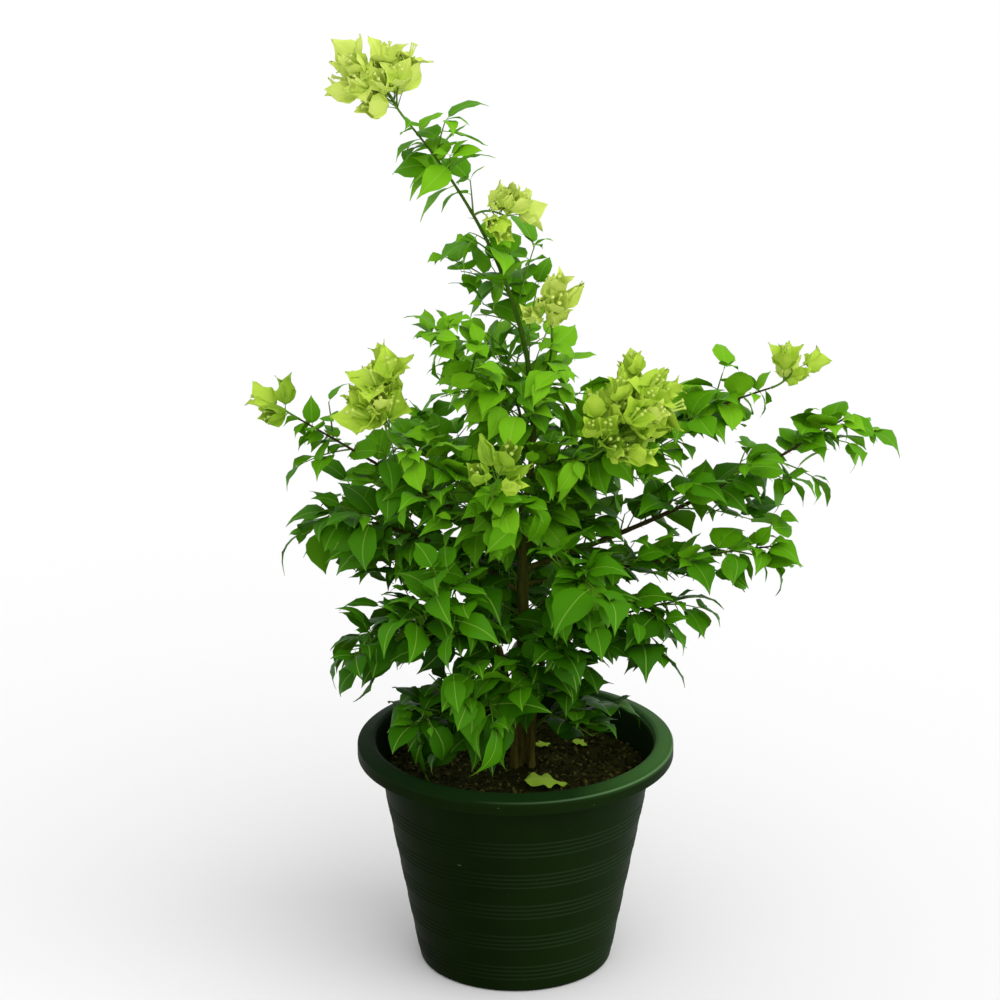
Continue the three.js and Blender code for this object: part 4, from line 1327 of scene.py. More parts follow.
def add_inner_twig(spray, k, t, direction, random, age):
    """A twig in the heart of the bush, from anywhere on the limb."""
    turn = k * GOLDEN_ANGLE + next(random) * FULL_TURN
    length = between(INNER_TWIG_LENGTH, random)
    size = spray.limb.leaf * INNER_LEAF_SHARE
    add_twig(spray, spray.limb.points(t), direction, turn, length, size, random, age)


def grow_finer(spray):
    """Carries the rule on: leaves between the nodes, twigs on the twigs, and tufts at the ends.

    The last leaves of a shoot with a bloom on its tip may enter that bloom's space."""
    limb = spray.limb
    spray.apart = FINE_APART
    spray.keep_inside = True
    random = seeded(seed_of(limb.name) + FINE_SEED)
    fullness = FULLNESS.get(limb.name, 1)
    count = max(4, round(limb.leafy_length / INTERNODE))
    own_twigs = list(spray.twigs)
    for k in range(count):
        share = (k + AXIL_PLACE) / count
        t = limb.leafy_at(FIRST_NODE + (LAST_NODE - FIRST_NODE) * share)
        turn = k * GOLDEN_ANGLE + AXIL_TURN + next(random) * NODE_TURN
        size = limb.leaf * AXIL_LEAF_SHARE * (1 - LEAF_DWINDLE * share)
        add_leaf(spray, limb.points(t), limb.along(t), turn, LEAF_FORWARD, size, random, share)
    for k in range(round(BACK_TWIGS * fullness)):
        t = limb.bare + BACK_SPAN * next(random)
        add_inner_twig(spray, k, t, -limb.along(t), random, 0)
    for k in range(round(count * INNER_TWIGS_PER_NODE * fullness)):
        share = INNER_REACH * next(random) ** INNER_CROWDING
        t = limb.leafy_at(share)
        add_inner_twig(spray, k, t, limb.along(t), random, share)
    for twig in own_twigs[:math.ceil(len(own_twigs) * fullness)]:
        root = twig["root"] + (twig["tip"] - twig["root"]) * FINE_TWIG_PLACE
        turn = next(random) * FULL_TURN
        length = between(FINE_TWIG_LENGTH, random)
        size = limb.leaf * FINE_LEAF_SHARE * (1 - LEAF_DWINDLE * twig["age"])
        ahead = unit(twig["tip"] - twig["root"])
        add_twig(spray, root, ahead, turn, length, size, random, twig["age"] + FINE_TWIG_AGE)
    for twig in own_twigs:
        add_tuft(spray, twig["tip"], unit(twig["tip"] - twig["root"]), random, TWIG_TUFT_AGE)
    add_tuft(spray, limb.points(TIP), limb.along(1), random, TIP_TUFT_AGE)
    if limb.name in bloom_on_end:
        spray.shared = [shoot_number[bloom_on_end[limb.name]]]
    for k in range(END_LEAVES):
        t = limb.leafy_at(1 - END_REACH * (k + 0.5) / END_LEAVES)
        length = between(END_LEAF_LENGTH, random)
        add_leaf(spray, limb.points(t), limb.along(t), k * GOLDEN_ANGLE, END_FORWARD, length, random, 1)


for spray in sprays:
    grow_finer(spray)
print(part_leaves, "leaves of the part's own,", count_leaves(sprays), "with the finer growth")

# %% [markdown]
# Old wood makes short spurs too: a few leaves on a twig as long as a finger joint. They fill the heart of
# the bush round the trunk and along the bare feet of the boughs, wherever no other leaf is near.

# %% Spurs on the old wood
SPURS = {"trunk": (34, 0.34, 0.99), "stem_left": (12, 0.3, 0.95), "stem_right": (12, 0.3, 0.95)}
SPURS_PER_BOUGH = 5
SPUR_LENGTH = (18, 62)
SPUR_LEAF = 60
SPUR_APART = 4.0
SPUR_SEED = 11
SPUR_BOX = (np.array([-150, -130, 262]), np.array([190, 130, 640]))
BARE_FROM = 0.3
SHORTEST_BARE = 0.05


class SpurSpray(Spray):
    """A spray on old wood, which keeps clear of the wood, the pot and every leaf that is there already."""

    def fits(self, points):
        inside = in_box(points, *SPUR_BOX) and above_pot(points) and leaves_view_open(points)
        return inside and clear_of_wood(points) and self.is_apart(points)


spur_rows = [(limbs[name], *row) for name, row in SPURS.items()]
for limb in leafy:
    if limb.bare > SHORTEST_BARE:
        spur_rows.append((limb, SPURS_PER_BOUGH, BARE_FROM * limb.bare, limb.bare))
everything = np.concatenate([spray.taken for spray in sprays])
spurs = []
for limb, count, first, last in spur_rows:
    spray = SpurSpray(limb, SPUR_APART)
    spray.taken = everything
    random = seeded(seed_of(limb.name) + SPUR_SEED)
    for k in range(count):
        t = first + (last - first) * (k + next(random)) / count
        length = between(SPUR_LENGTH, random)
        add_twig(spray, limb.points(t), limb.along(t), k * GOLDEN_ANGLE, length, SPUR_LEAF, random, 0)
    everything = spray.taken
    spurs.append(spray)
sprays += spurs
print(count_leaves(spurs), "leaves on", count_twigs(spurs), "spurs")

# %% [markdown]
# A leaf is drawn once for each amount of droop and each way that its edge waves, slim and broad, and
# copied to every place. The drawn leaf is one unit long: a short stalk, then a blade that is widest a
# third of the way up and drawn out to a point, often a hooked one. The blade is folded a little along its
# midrib and closed underneath, so that it has a pale underside and a real thickness.

# %% Leaf values
BLADE_ROWS = np.array([0, 0.08, 0.22, 0.42, 0.62, 0.79, 0.91, 1])
BLADE_HALF_WIDTHS = np.array([0.02, 0.165, 0.262, 0.286, 0.218, 0.108, 0.036, 0.003])
STALK_SHARE = 0.12
STALK_RADIUS = 0.011
SWAY = 0.24
SWAY_TURN, SWAY_FROM = 2.1, 0.4
STRAIGHT = 0.01
HOOK_FROM = 0.7
VEIN_HALF, VEIN_MOST = 0.012, 0.4
RIPPLES, RIPPLE_SIDE = 9.5, 2.1
STALK_RINGS = ((-0.02, 1), (0.05, 0.9), (STALK_SHARE + 0.05, 0.5))
STALK_SIDES = 4
LEAF_THICKNESS = 0.007
LEAF_FOLD, LEAF_FLATTEN = 0.42, 0.34
LEAF_COLUMNS = (-1, -0.52, 0.52, 1)
print("rows in a leaf:", len(BLADE_ROWS))

# %% Arcs and blades
def arc(bend, shares, hook=0.0):
    """Points and normals of a midrib of unit length: an arc that drops away from +Y, with a hooked tip."""
    safe = bend if abs(bend) > STRAIGHT else STRAIGHT
    extra = hook * np.clip(shares - HOOK_FROM, 0, None) ** 2
    forward = np.sin(safe * shares) / safe
    back = (1 - np.cos(safe * shares)) / safe + extra
    middle = np.stack([np.zeros_like(shares), forward, -back], axis=1)
    angle = safe * shares
    normal = np.stack([np.zeros_like(shares), np.sin(angle), np.cos(angle)], axis=1)
    return middle, normal


def blade(shape, middle, normal, half, columns, lift, thickness):
    """A thin closed blade on a midrib. lift(across, row) raises it above the midrib's own plane."""
    vein = VEIN_HALF
    tops = [c for c in columns if c < 0] + [-vein, vein] + [c for c in columns if c > 0]
    unders = [c for c in columns if c < 0] + [0] + [c for c in columns if c > 0]
    side = ACROSS
    points, faces, parts, sharp = [], [], [], []
    wide = len(tops)
    for row in range(len(half)):
        for c in tops:
            across = c * half[row] if abs(c) > vein else np.sign(c) * min(vein, VEIN_MOST * half[row])
            part = across / half[row]
            points.append(middle[row] + side * across + normal[row] * lift(part, row))
    start = len(points)
    for row in range(len(half)):
        for c in unders[1:-1]:
            drop = thickness * (1 - c * c)
            points.append(middle[row] + side * c * half[row] + normal[row] * (lift(c, row) - drop))

    def under(row, column):
        if column == 0:
            return row * wide
        if column == len(unders) - 1:
            return row * wide + wide - 1
        return start + row * (len(unders) - 2) + column - 1

    for face in grid_faces(len(half), wide):
        faces.append(face)
        parts.append(1 if face[0] % wide == wide // 2 - 1 else 0)
    for row in range(len(half) - 1):
        for column in range(len(unders) - 1):
            faces.append((under(row, column), under(row + 1, column),
                          under(row + 1, column + 1), under(row, column + 1)))
            parts.append(2)
        sharp += [(row * wide, (row + 1) * wide), (row * wide + wide - 1, (row + 1) * wide + wide - 1)]
    last = len(half) - 1
    faces.append(tuple(under(0, c) for c in range(len(unders))) + tuple(range(wide - 2, 0, -1)))
    faces.append(tuple(last * wide + c for c in range(wide))
                 + tuple(under(last, c) for c in range(len(unders) - 2, 0, -1)))
    parts += [2, 2]
    shape.add(points, faces, parts, sharp)


print("faces in a leaf's upper side:", len(grid_faces(len(BLADE_ROWS), 6)))

# %% Leaf drawing
def leaf_shape(number, droop, wave, hook, breadth):
    """A leaf of unit length that starts at the origin along +Y, with its upper side towards +Z."""
    shape = Shape()
    shares = STALK_SHARE + (1 - STALK_SHARE) * BLADE_ROWS
    middle, normal = arc(droop, shares, hook)
    middle[:, 0] += SWAY * math.sin(SWAY_TURN * number) * np.clip(shares - SWAY_FROM, 0, None) ** 2
    half = BLADE_HALF_WIDTHS * breadth

    def lift(across, row):
        u = BLADE_ROWS[row]
        fold = half[row] * (LEAF_FOLD * abs(across) - LEAF_FLATTEN * across * across)
        ripple = wave * abs(across) ** 3 * math.sin(RIPPLES * u + RIPPLE_SIDE * np.sign(across) + number)
        return fold + ripple * math.sin(math.pi * u)

    blade(shape, middle, normal, half, LEAF_COLUMNS, lift, LEAF_THICKNESS)
    stalk, _ = arc(droop, np.array([share for share, _ in STALK_RINGS]))
    tube(shape, stalk, [STALK_RADIUS * width for _, width in STALK_RINGS], STALK_SIDES, 1)
    return shape.mesh(f"leaf_{number:02d}")


DROOPS = (30, 45, 60, 75, 90)
WAVES = (0.030, 0.052)
HOOKS = (0.7, 1.7, -0.5)
BREADTHS = (1.0, 1.24)
BROAD_LEAVED = ("long_right", "high_long_right", "mid_right", "low_right", "front_right", "rim_right")
leaf_meshes = []
for breadth in BREADTHS:
    for wave in WAVES:
        for droop in DROOPS:
            number = len(leaf_meshes)
            leaf_meshes.append(leaf_shape(number, droop * DEGREE, wave, HOOKS[number % len(HOOKS)], breadth))
print(len(leaf_meshes), "leaf shapes of", len(leaf_meshes[0].polygons), "faces")

# %% Tree that places shapes on points
def placing_tree(name, finishes):
    """Copies each point's own shape to it, with the point's own turn and size."""
    tree, given, result = new_tree(
        name, ("Unit", "NodeSocketFloat", MM), ("Shapes", "NodeSocketCollection", None))
    scaled = tree_node(tree, "ShaderNodeMath", {"operation": "MULTIPLY"})
    tree.links.new(attribute_node(tree, "size", "FLOAT"), scaled.inputs[0])
    tree.links.new(given.outputs["Unit"], scaled.inputs[1])
    turn = attribute_node(tree, "turn", "QUATERNION")
    index = attribute_node(tree, "shape", "INT")
    points, size = given.outputs["Geometry"], scaled.outputs[0]
    return finish_tree(tree, points, given, turn, size, finishes, result, index)


def placed(name, places, shapes, finishes):
    """A mesh of the collection's shapes at places: (point, turn as three unit vectors, size, shape)."""
    holder_mesh = bpy.data.meshes.new("places")
    holder_mesh.from_pydata([tuple(point * MM) for point, _, _, _ in places], [], [])
    turns = [Matrix(axes).transposed().to_quaternion() for _, axes, _, _ in places]
    values = {
        "turn": ("QUATERNION", np.array([tuple(turn) for turn in turns]).ravel()),
        "size": ("FLOAT", [place[2] for place in places]),
        "shape": ("INT", [place[3] for place in places]),
    }
    for key, (kind, numbers) in values.items():
        holder_mesh.attributes.new(key, kind, "POINT")
        holder_mesh.attributes[key].data.foreach_set("value", numbers)
    holder = bpy.data.objects.new("places", holder_mesh)
    bpy.context.scene.collection.objects.link(holder)
    mesh = grown(holder, placing_tree("place " + name, finishes), {"Unit": MM, "Shapes": shapes}, name)
    bpy.data.objects.remove(holder)
    return mesh


print("placing tree ready")

# %% [markdown]
# The crown's greens run from a deep green low down on the left to a yellow-green at the top, on the right
# and at the tips. Young leaves are truly paler; the rest is painted light and shade: leaves are painted
# darker low down and on the left, where the crown is in shade, and paler high up and on the right, and each
# spray has a painted light or shade of its own. A texture laid over thousands of small leaves would be
# muddled, so each leaf takes one of a few plain greens, dealt out by its spray's painted light, by where it
# is, how young it is and a little chance. Its midrib and underside have plain colours of their own.

# %% Leaf greens
TONES = {
    "deep": ((0.012, 0.066, 0.0005), 0.46),
    "mid": ((0.027, 0.125, 0.0010), 0.46),
    "fresh": ((0.051, 0.203, 0.0018), 0.46),
    "bright": ((0.093, 0.305, 0.0032), 0.47),
    "young": ((0.170, 0.450, 0.0080), 0.48),
}
TONE_STEPS = (0.20, 0.40, 0.62, 0.86)
# Painted light and shade for each spray: added to its leaves' light, it paints them paler or darker.
SPRAY_PAINTED_LIGHT = {"leader": -0.13, "long_right": -0.10, "high_long_right": -0.05, "mid_right": -0.06,
               "low_right": -0.10, "front_right": -0.13, "front_left": -0.13, "low_left": -0.13,
               "mid_left": -0.10, "far_left": -0.06, "front_low": 0.08, "front_high": 0.07,
               "crown_right": 0.09, "crown_left": 0.12, "high_left": 0.07, "high_right": 0.06,
               "back_high": 0.07, "back_right": 0.10, "back_low": 0.05}


MIDRIB, MIDRIB_SHARE = (0.32, 0.54, 0.07), 0.34
UNDERSIDE, UNDERSIDE_SHARE = (0.14, 0.30, 0.01), 0.22
# Painted light: leaves are painted paler with height and towards the right; youth and chance add to it.
HEIGHT_LIGHT, LOWEST_LIGHT, LIGHT_HEIGHT, MOST_HEIGHT = 0.62, 230, 300, 1.25
SIDE_LIGHT, LEFT_END, CROWN_WIDTH = 0.16, -250, 600
YOUTH_LIGHT, CHANCE_LIGHT = 0.14, 0.14
LEAF_GLOSS, MIDRIB_GLOSS, UNDERSIDE_GLOSS = 0.06, 0.1, 0.04
MIDRIB_ROUGHER, UNDERSIDE_ROUGHNESS = 0.05, 0.65
TONE_SEED = 17


def mixed(colour, other, share):
    return tuple(a + (b - a) * share for a, b in zip(colour, other))


def leaf_finishes(tone):
    colour, roughness = TONES[tone]
    pale = mixed(colour, MIDRIB, MIDRIB_SHARE)
    dull = mixed(colour, UNDERSIDE, UNDERSIDE_SHARE)
    top = Finish(f"leaf {tone}", colour, roughness, LEAF_GLOSS)
    vein = Finish(f"midrib {tone}", pale, roughness + MIDRIB_ROUGHER, MIDRIB_GLOSS)
    under = Finish(f"underside {tone}", dull, UNDERSIDE_ROUGHNESS, UNDERSIDE_GLOSS)
    return [top, vein, under]


def tone_of(leaf, spray_light, random):
    """Which green a leaf takes: paler with youth, and painted light with height, to the right and by spray.
    """
    x, _, z = leaf["base"]
    height = min(MOST_HEIGHT, max(0.0, (z - LOWEST_LIGHT) / LIGHT_HEIGHT))
    light = HEIGHT_LIGHT * height + SIDE_LIGHT * (x - LEFT_END) / CROWN_WIDTH
    light += YOUTH_LIGHT * leaf["age"] + CHANCE_LIGHT * next(random) + spray_light
    return sum(light > step for step in TONE_STEPS)


print("greens:", len(TONES))

# %% Leaves in their greens
names = list(TONES)
leaf_places = {name: [] for name in names}
tone_random = seeded(TONE_SEED)
for spray in sprays:
    for leaf in spray.leaves:
        droop = min(range(len(DROOPS)), key=lambda i: abs(DROOPS[i] * DEGREE - leaf["droop"]))
        number = droop + len(DROOPS) * int(next(tone_random) * len(WAVES))
        if spray.limb.name in BROAD_LEAVED:
            number += len(DROOPS) * len(WAVES)
        axes = (leaf["side"], leaf["along"], leaf["normal"])
        tone = names[tone_of(leaf, SPRAY_PAINTED_LIGHT.get(spray.limb.name, 0), tone_random)]
        leaf_places[tone].append((leaf["base"], axes, leaf["length"], number))

leaf_shapes = collection_of("leaf", leaf_meshes)
for tone in names:
    finishes = leaf_finishes(tone)
    mesh = placed(f"leaves_{tone}", leaf_places[tone], leaf_shapes, finishes)
    piece(f"leaves_{tone}", mesh, finishes, foliage_nodes)
    print("  ", len(leaf_places[tone]), "leaves")
drop_shapes(leaf_shapes)

# %% [markdown]
# Trunk, stems and boughs are tubes whose surface is lifted and sunk by noise that changes fast round the
# stem and slowly along it, which gives the long shallow ridges of young bark. At every node the bark
# swells a little and carries the scar of an old leaf. Low down it is brown, and it turns olive higher up.

# %% Bark values
RING_STEP = 1.5
RIDGE_DEPTH = 0.07
RIDGES_ROUND, RIDGES_ALONG = 2.6, 0.045
FINE_RIDGES, FINE_RIDGE_SHARE = 2.3, 0.5
NODE_SWELL = 0.09
NODE_SPACING = 23
SWELL_PLACE, SWELL_WIDTH, SWELL_ALL_ROUND = 3, 3.5, 0.35
BARK_SEED_STEP = 7
STEM_SLIM, BOUGH_SLIM = 0.96, 0.76
print("a node every", NODE_SPACING, "mm of bark")

# %% Bark
def bark_relief(centres, radii, sides, seed):
    """How far the bark stands out at each ring and side, in millimetres."""
    angles = FULL_TURN * np.arange(sides) / sides
    travelled = np.concatenate([[0], np.cumsum(np.linalg.norm(np.diff(centres, axis=0), axis=1))])
    relief = np.zeros((len(centres), sides))
    for row, distance in enumerate(travelled):
        past = distance + seed * BARK_SEED_STEP
        swell = math.exp(-(past % NODE_SPACING - SWELL_PLACE) ** 2 / SWELL_WIDTH)
        scar = (int(past / NODE_SPACING) * GOLDEN_ANGLE) % FULL_TURN
        for column, angle in enumerate(angles):
            x, y = math.cos(angle) * RIDGES_ROUND, math.sin(angle) * RIDGES_ROUND
            spot = Vector((x, y, distance * RIDGES_ALONG + seed))
            ridge = noise.noise(spot) + FINE_RIDGE_SHARE * noise.noise(spot * FINE_RIDGES)
            at_scar = SWELL_ALL_ROUND + max(0.0, math.cos(angle - scar)) ** 4
            relief[row, column] = radii[row] * (RIDGE_DEPTH * ridge + NODE_SWELL * swell * at_scar)
    return relief


def add_bark(shape, limb, upto, radius_at, sides, seed):
    count = max(6, round(limb.length * upto / RING_STEP))
    shares = np.linspace(0, upto, count)
    centres = limb.points(shares)
    radii = np.array([radius_at(t) for t in shares])
    tube(shape, centres, radii, sides, 0, bark_relief(centres, radii, sides, seed))


def stem_radius(limb):
    """A stem's radius with its root flare just above the soil."""
    rise = limb.corners[2][2] - SOIL_LEVEL

    def radius_at(t):
        low = max(0.0, 1 - t * rise / FLARE_HEIGHT)
        return STEM_SLIM * limb.radius(t) * (1 + FLARE_SHARE * low * low)

    return radius_at


def bough_radius(limb):
    return lambda t: BOUGH_SLIM * limb.radius(t)


def bark_piece(name, covered, radius_of, sides, seed):
    """The bark of some limbs as one piece. covered has the share of each limb that it reaches along."""
    shape = Shape()
    for number, (limb_name, upto) in enumerate(covered.items()):
        limb = limbs[limb_name]
        add_bark(shape, limb, upto, radius_of(limb), sides, seed + number)
    piece(name, shape.mesh(name, MM), [bark_finish], list(covered))


print("bark rings every", RING_STEP, "mm")

# %% Bark finish and pieces
BARK_BROWN = (0.096, 0.084, 0.014)
BARK_DARK = (0.034, 0.030, 0.004)
BARK_OLIVE = (0.072, 0.125, 0.012)
OLIVE_RISE = (0.33, (0, 0, 0)), (0.62, (1, 1, 1))
OLIVE_PATCHES, OLIVE_SHARE = 0.12, 0.8
BARK_STOPS = ((0.3, BARK_DARK), (0.62, BARK_BROWN))
BARK_ROUGHNESS, BARK_GLOSS = 0.8, 0.06
BARK_GRAIN = (260, 5, (1, 1, 0.16))
BARK_PATCHES = (34, 2)
BARK_BUMP = (0.5, 0.0008)
TRUNK_SIDES, STEM_SIDES, BOUGH_SIDES = 26, 18, 14

bark_finish = Finish("young bark", BARK_BROWN, BARK_ROUGHNESS, BARK_GLOSS)
grain = bark_finish.speckle(*BARK_GRAIN)
patches = bark_finish.speckle(*BARK_PATCHES)
level = bark_finish.along("Z")
streaked = bark_finish.ramp(grain, *BARK_STOPS)
olive = bark_finish.ramp(level + OLIVE_PATCHES * patches, *OLIVE_RISE)
bark_finish.set("Base Color", bark_finish.mix(olive * OLIVE_SHARE, streaked, BARK_OLIVE))
bark_finish.bump(grain, *BARK_BUMP)

boughs = {row[0]: limbs[row[0]].bare for row in SHOOTS}
bark_piece("trunk_bark", {"trunk": 1}, stem_radius, TRUNK_SIDES, 1)
bark_piece("stem_bark", {"stem_left": 1, "stem_right": 1}, stem_radius, STEM_SIDES, 2)
bark_piece("bough_bark", boughs, bough_radius, BOUGH_SIDES, 5)

# %% Shoots and twigs
SHOOT_ROOT_RADIUS = 1.15
TIP_RADIUS = 0.85
SHOOT_SWELL = 0.16
SHOOT_RING_STEP = 3
SHOOT_SIDES = 8
TWIG_RADIUS = 1.0
FINE_TWIG_RADIUS = 0.75
TWIG_BOW, TWIG_SUNK, TWIG_TAPER = 0.05, 0.02, 0.5
TWIG_RINGS, TWIG_SIDES = 6, 5
SHOOT_GREEN = (0.085, 0.200, 0.010)
SHOOT_BROWN = (0.080, 0.066, 0.018)
GREEN_ROUGHNESS, BROWN_ROUGHNESS, SHOOT_GLOSS = 0.55, 0.65, 0.1
BROWN_SHOOTS = ("long_right", "mid_right", "far_left", "mid_left", "high_long_right",
                "back_left", "back_right")


def add_shoot(shape, limb, part):
    """The leafy part of a shoot: it thins to its tip and swells a little at each node."""
    low = limb.bare
    shares = np.linspace(low, 1, max(8, round(limb.length * (1 - low) / SHOOT_RING_STEP)))
    done = (shares - low) / (1 - low)
    start = BOUGH_SLIM * limb.radius(low) if low > 0 else SHOOT_ROOT_RADIUS
    radii = start + (TIP_RADIUS - start) * done
    radii *= 1 + SHOOT_SWELL * np.clip(np.cos(FULL_TURN * shares * limb.length / INTERNODE), 0, 1) ** 6
    tube(shape, limb.points(shares), radii, SHOOT_SIDES, part)


def add_twig_tube(shape, root, tip, radius, part):
    """A side twig: it leaves its shoot stoutly, bows a little and thins to its end."""
    shares = np.linspace(-TWIG_SUNK, 1, TWIG_RINGS)[:, None]
    radii = np.linspace(radius, radius * TWIG_TAPER, TWIG_RINGS)
    bow = UP * np.linalg.norm(tip - root) * TWIG_BOW * np.sin(math.pi * np.clip(shares, 0, 1))
    tube(shape, root + (tip - root) * shares + bow, radii, TWIG_SIDES, part)


green_shoot = Finish("green shoot", SHOOT_GREEN, GREEN_ROUGHNESS, SHOOT_GLOSS)
brown_shoot = Finish("brown shoot", SHOOT_BROWN, BROWN_ROUGHNESS, SHOOT_GLOSS)
shoot_shape = Shape()
for spray in sprays:
    part = 1 if spray.limb.name in BROWN_SHOOTS else 0
    if spray.limb in leafy:
        add_shoot(shoot_shape, spray.limb, part)
    for twig in spray.twigs:
        radius = FINE_TWIG_RADIUS if twig["fine"] else TWIG_RADIUS
        add_twig_tube(shoot_shape, twig["root"], twig["tip"], radius, 0)
piece("green_shoots", shoot_shape.mesh("green_shoots", MM), [green_shoot, brown_shoot],
      foliage_nodes)

# %% [markdown]
# Thorns sit in the leaf axils, one to a node, slim and slightly hooked. They are small, but they catch
# the light along the bare stretches of the long shoots.

# %% Thorns
THORN_LENGTH = (4.5, 9.0)
THORN_PLACE, THORN_TURN, THORN_LEAN = 0.9, 0.9, 0.45
THORN_HOOK, THORN_RADIUS, THORN_TAPER, THORN_CURVE = 0.12, 0.085, 0.93, 0.8
THORN_SUNK = 0.08
THORN_RINGS, THORN_SIDES = 5, 5
THORN_BROWN, THORN_ROUGHNESS = (0.16, 0.15, 0.045), 0.5
THORN_SEED = 29


def thorn_shape():
    """A thorn of unit length that starts at the origin along +Y and bends towards +Z."""
    shape = Shape()
    shares = np.linspace(-THORN_SUNK, 1, THORN_RINGS)
    centres = np.stack([0 * shares, shares, THORN_HOOK * shares ** 2], axis=1)
    radii = THORN_RADIUS * (1 - THORN_TAPER * np.clip(shares, 0, 1) ** THORN_CURVE)
    tube(shape, centres, radii, THORN_SIDES)
    return shape.mesh("thorn")


thorn_random = seeded(THORN_SEED)
thorn_places = []
for limb in leafy:
    if limb.heads:
        continue
    count = round(limb.leafy_length / INTERNODE)
    for k in range(count):
        t = limb.bare + (1 - limb.bare) * (k + THORN_PLACE) / (count + 1)
        along = limb.along(t)
        away = unit(aside(along, k * GOLDEN_ANGLE + THORN_TURN) + THORN_LEAN * along)
        side = unit(np.cross(away, along))
        axes = (side, away, np.cross(side, away))
        thorn_places.append((limb.points(t), axes, between(THORN_LENGTH, thorn_random), 0))

thorn_finish = Finish("thorn", THORN_BROWN, THORN_ROUGHNESS)
thorn_shapes = collection_of("thorn", [thorn_shape()])
piece("thorns", placed("thorns", thorn_places, thorn_shapes, [thorn_finish]), [thorn_finish], [])
drop_shapes(thorn_shapes)

# %% [markdown]
# What looks like the flower is three papery bracts round three small tubes. Each bract is a broad pointed
# blade, cupped towards the others, with a crinkled edge. Heads are drawn once for each stage, from a
# closed bud to a wide cup, and then copied to the places where the rule sets them.

# %% Bract values
BRACT_ROWS = np.array([0, 0.07, 0.2, 0.36, 0.54, 0.72, 0.88, 1])
BRACT_HALF_WIDTHS = np.array([0.08, 0.48, 0.88, 1.0, 0.84, 0.53, 0.21, 0.01])
BRACT_COLUMNS = (-1, -0.62, -0.28, 0.28, 0.62, 1)
BRACT_THICKNESS = 0.006
BRACT_RIPPLE, RIPPLE_PACE, RIPPLE_TURN = 0.07, 13, 2.3
BRACT_CUP = 0.30
BRACT_CRINKLE, CRINKLE_PACE, CRINKLE_SIDE = 0.055, 15, 2.6
BRACT_PLEAT, PLEAT_PACE = 0.022, 7
BRACT_OFFSET = 0.02
HEAD_STAGES = (
    {"open": 12, "cup": -22, "hook": 0.0, "width": 0.27, "tubes": 0},
    {"open": 30, "cup": -34, "hook": 0.6, "width": 0.39, "tubes": 3},
    {"open": 44, "cup": -20, "hook": 1.0, "width": 0.43, "tubes": 3},
    {"open": 54, "cup": -12, "hook": -0.6, "width": 0.41, "tubes": 2},
    {"open": 38, "cup": -44, "hook": 1.4, "width": 0.40, "tubes": 3},
    {"open": 62, "cup": 18, "hook": -0.4, "width": 0.39, "tubes": 3},
    {"open": 24, "cup": -30, "hook": 1.8, "width": 0.33, "tubes": 1},
)
print("stages of a head:", len(HEAD_STAGES))

# %% Bract drawing
def bract(shape, stage, turn, seed):
    """One of a head's three bracts, with its root at the origin and the head's axis along +Z."""
    flat = Shape()
    middle, normal = arc(stage["cup"] * DEGREE, BRACT_ROWS, stage["hook"])
    u = BRACT_ROWS
    rippled = 1 + BRACT_RIPPLE * np.sin(RIPPLE_PACE * u + RIPPLE_TURN * seed)
    half = stage["width"] * BRACT_HALF_WIDTHS * rippled

    def lift(across, row):
        cup = half[row] * BRACT_CUP * across * across
        wave = math.sin(CRINKLE_PACE * u[row] + CRINKLE_SIDE * np.sign(across) + seed)
        crinkle = BRACT_CRINKLE * abs(across) ** 2 * wave
        pleat = BRACT_PLEAT * math.sin(PLEAT_PACE * across + seed) * math.sin(math.pi * u[row])
        return cup + crinkle + pleat

    blade(flat, middle, normal, half, BRACT_COLUMNS, lift, BRACT_THICKNESS)
    opened = stage["open"] * DEGREE
    radial = np.array([math.cos(turn), math.sin(turn), 0])
    along = math.cos(opened) * UP + math.sin(opened) * radial
    inward = math.sin(opened) * UP - math.cos(opened) * radial
    side = np.cross(along, inward)
    points = np.concatenate(flat.points)
    points = points[:, 0:1] * side + points[:, 1:2] * along + points[:, 2:3] * inward
    shape.add(points + radial * BRACT_OFFSET, flat.faces, flat.parts, flat.sharp)


TUBE_LENGTH = 1.2
TUBE_SHARES = np.array([0, 0.15, 0.35, 0.52, 0.6, 0.66])
TUBE_RADII = [0.018, 0.032, 0.038, 0.028, 0.036, 0.066]
TUBE_SIDES = 6
TUBE_LEAN, LEAN_CHANGE, TUBE_OFFSET = 0.16, 0.05, 0.03
BRACT_TURN_CHANGE, TUBE_TURN = 0.2, 0.5


def flower_tube(shape, turn, seed):
    """A slender tube with a small open mouth, beside its bract."""
    radial = np.array([math.cos(turn), math.sin(turn), 0])
    lean = TUBE_LEAN + LEAN_CHANGE * math.sin(seed)
    shares = TUBE_SHARES[:, None]
    centres = UP * shares * TUBE_LENGTH + radial * (TUBE_OFFSET + lean * shares)
    tube(shape, centres, TUBE_RADII, TUBE_SIDES, 3)


def head_shape(number, stage):
    shape = Shape()
    for bract_number in range(3):
        turn = FULL_TURN * bract_number / 3 + BRACT_TURN_CHANGE * math.sin(number * 3 + bract_number)
        bract(shape, stage, turn, number * 3 + bract_number)
        if bract_number < stage["tubes"]:
            flower_tube(shape, turn + TUBE_TURN, number + bract_number)
    return shape.mesh(f"head_{number:02d}")


head_meshes = [head_shape(number, stage) for number, stage in enumerate(HEAD_STAGES)]
print(len(head_meshes), "stages of", [len(mesh.polygons) for mesh in head_meshes], "faces")

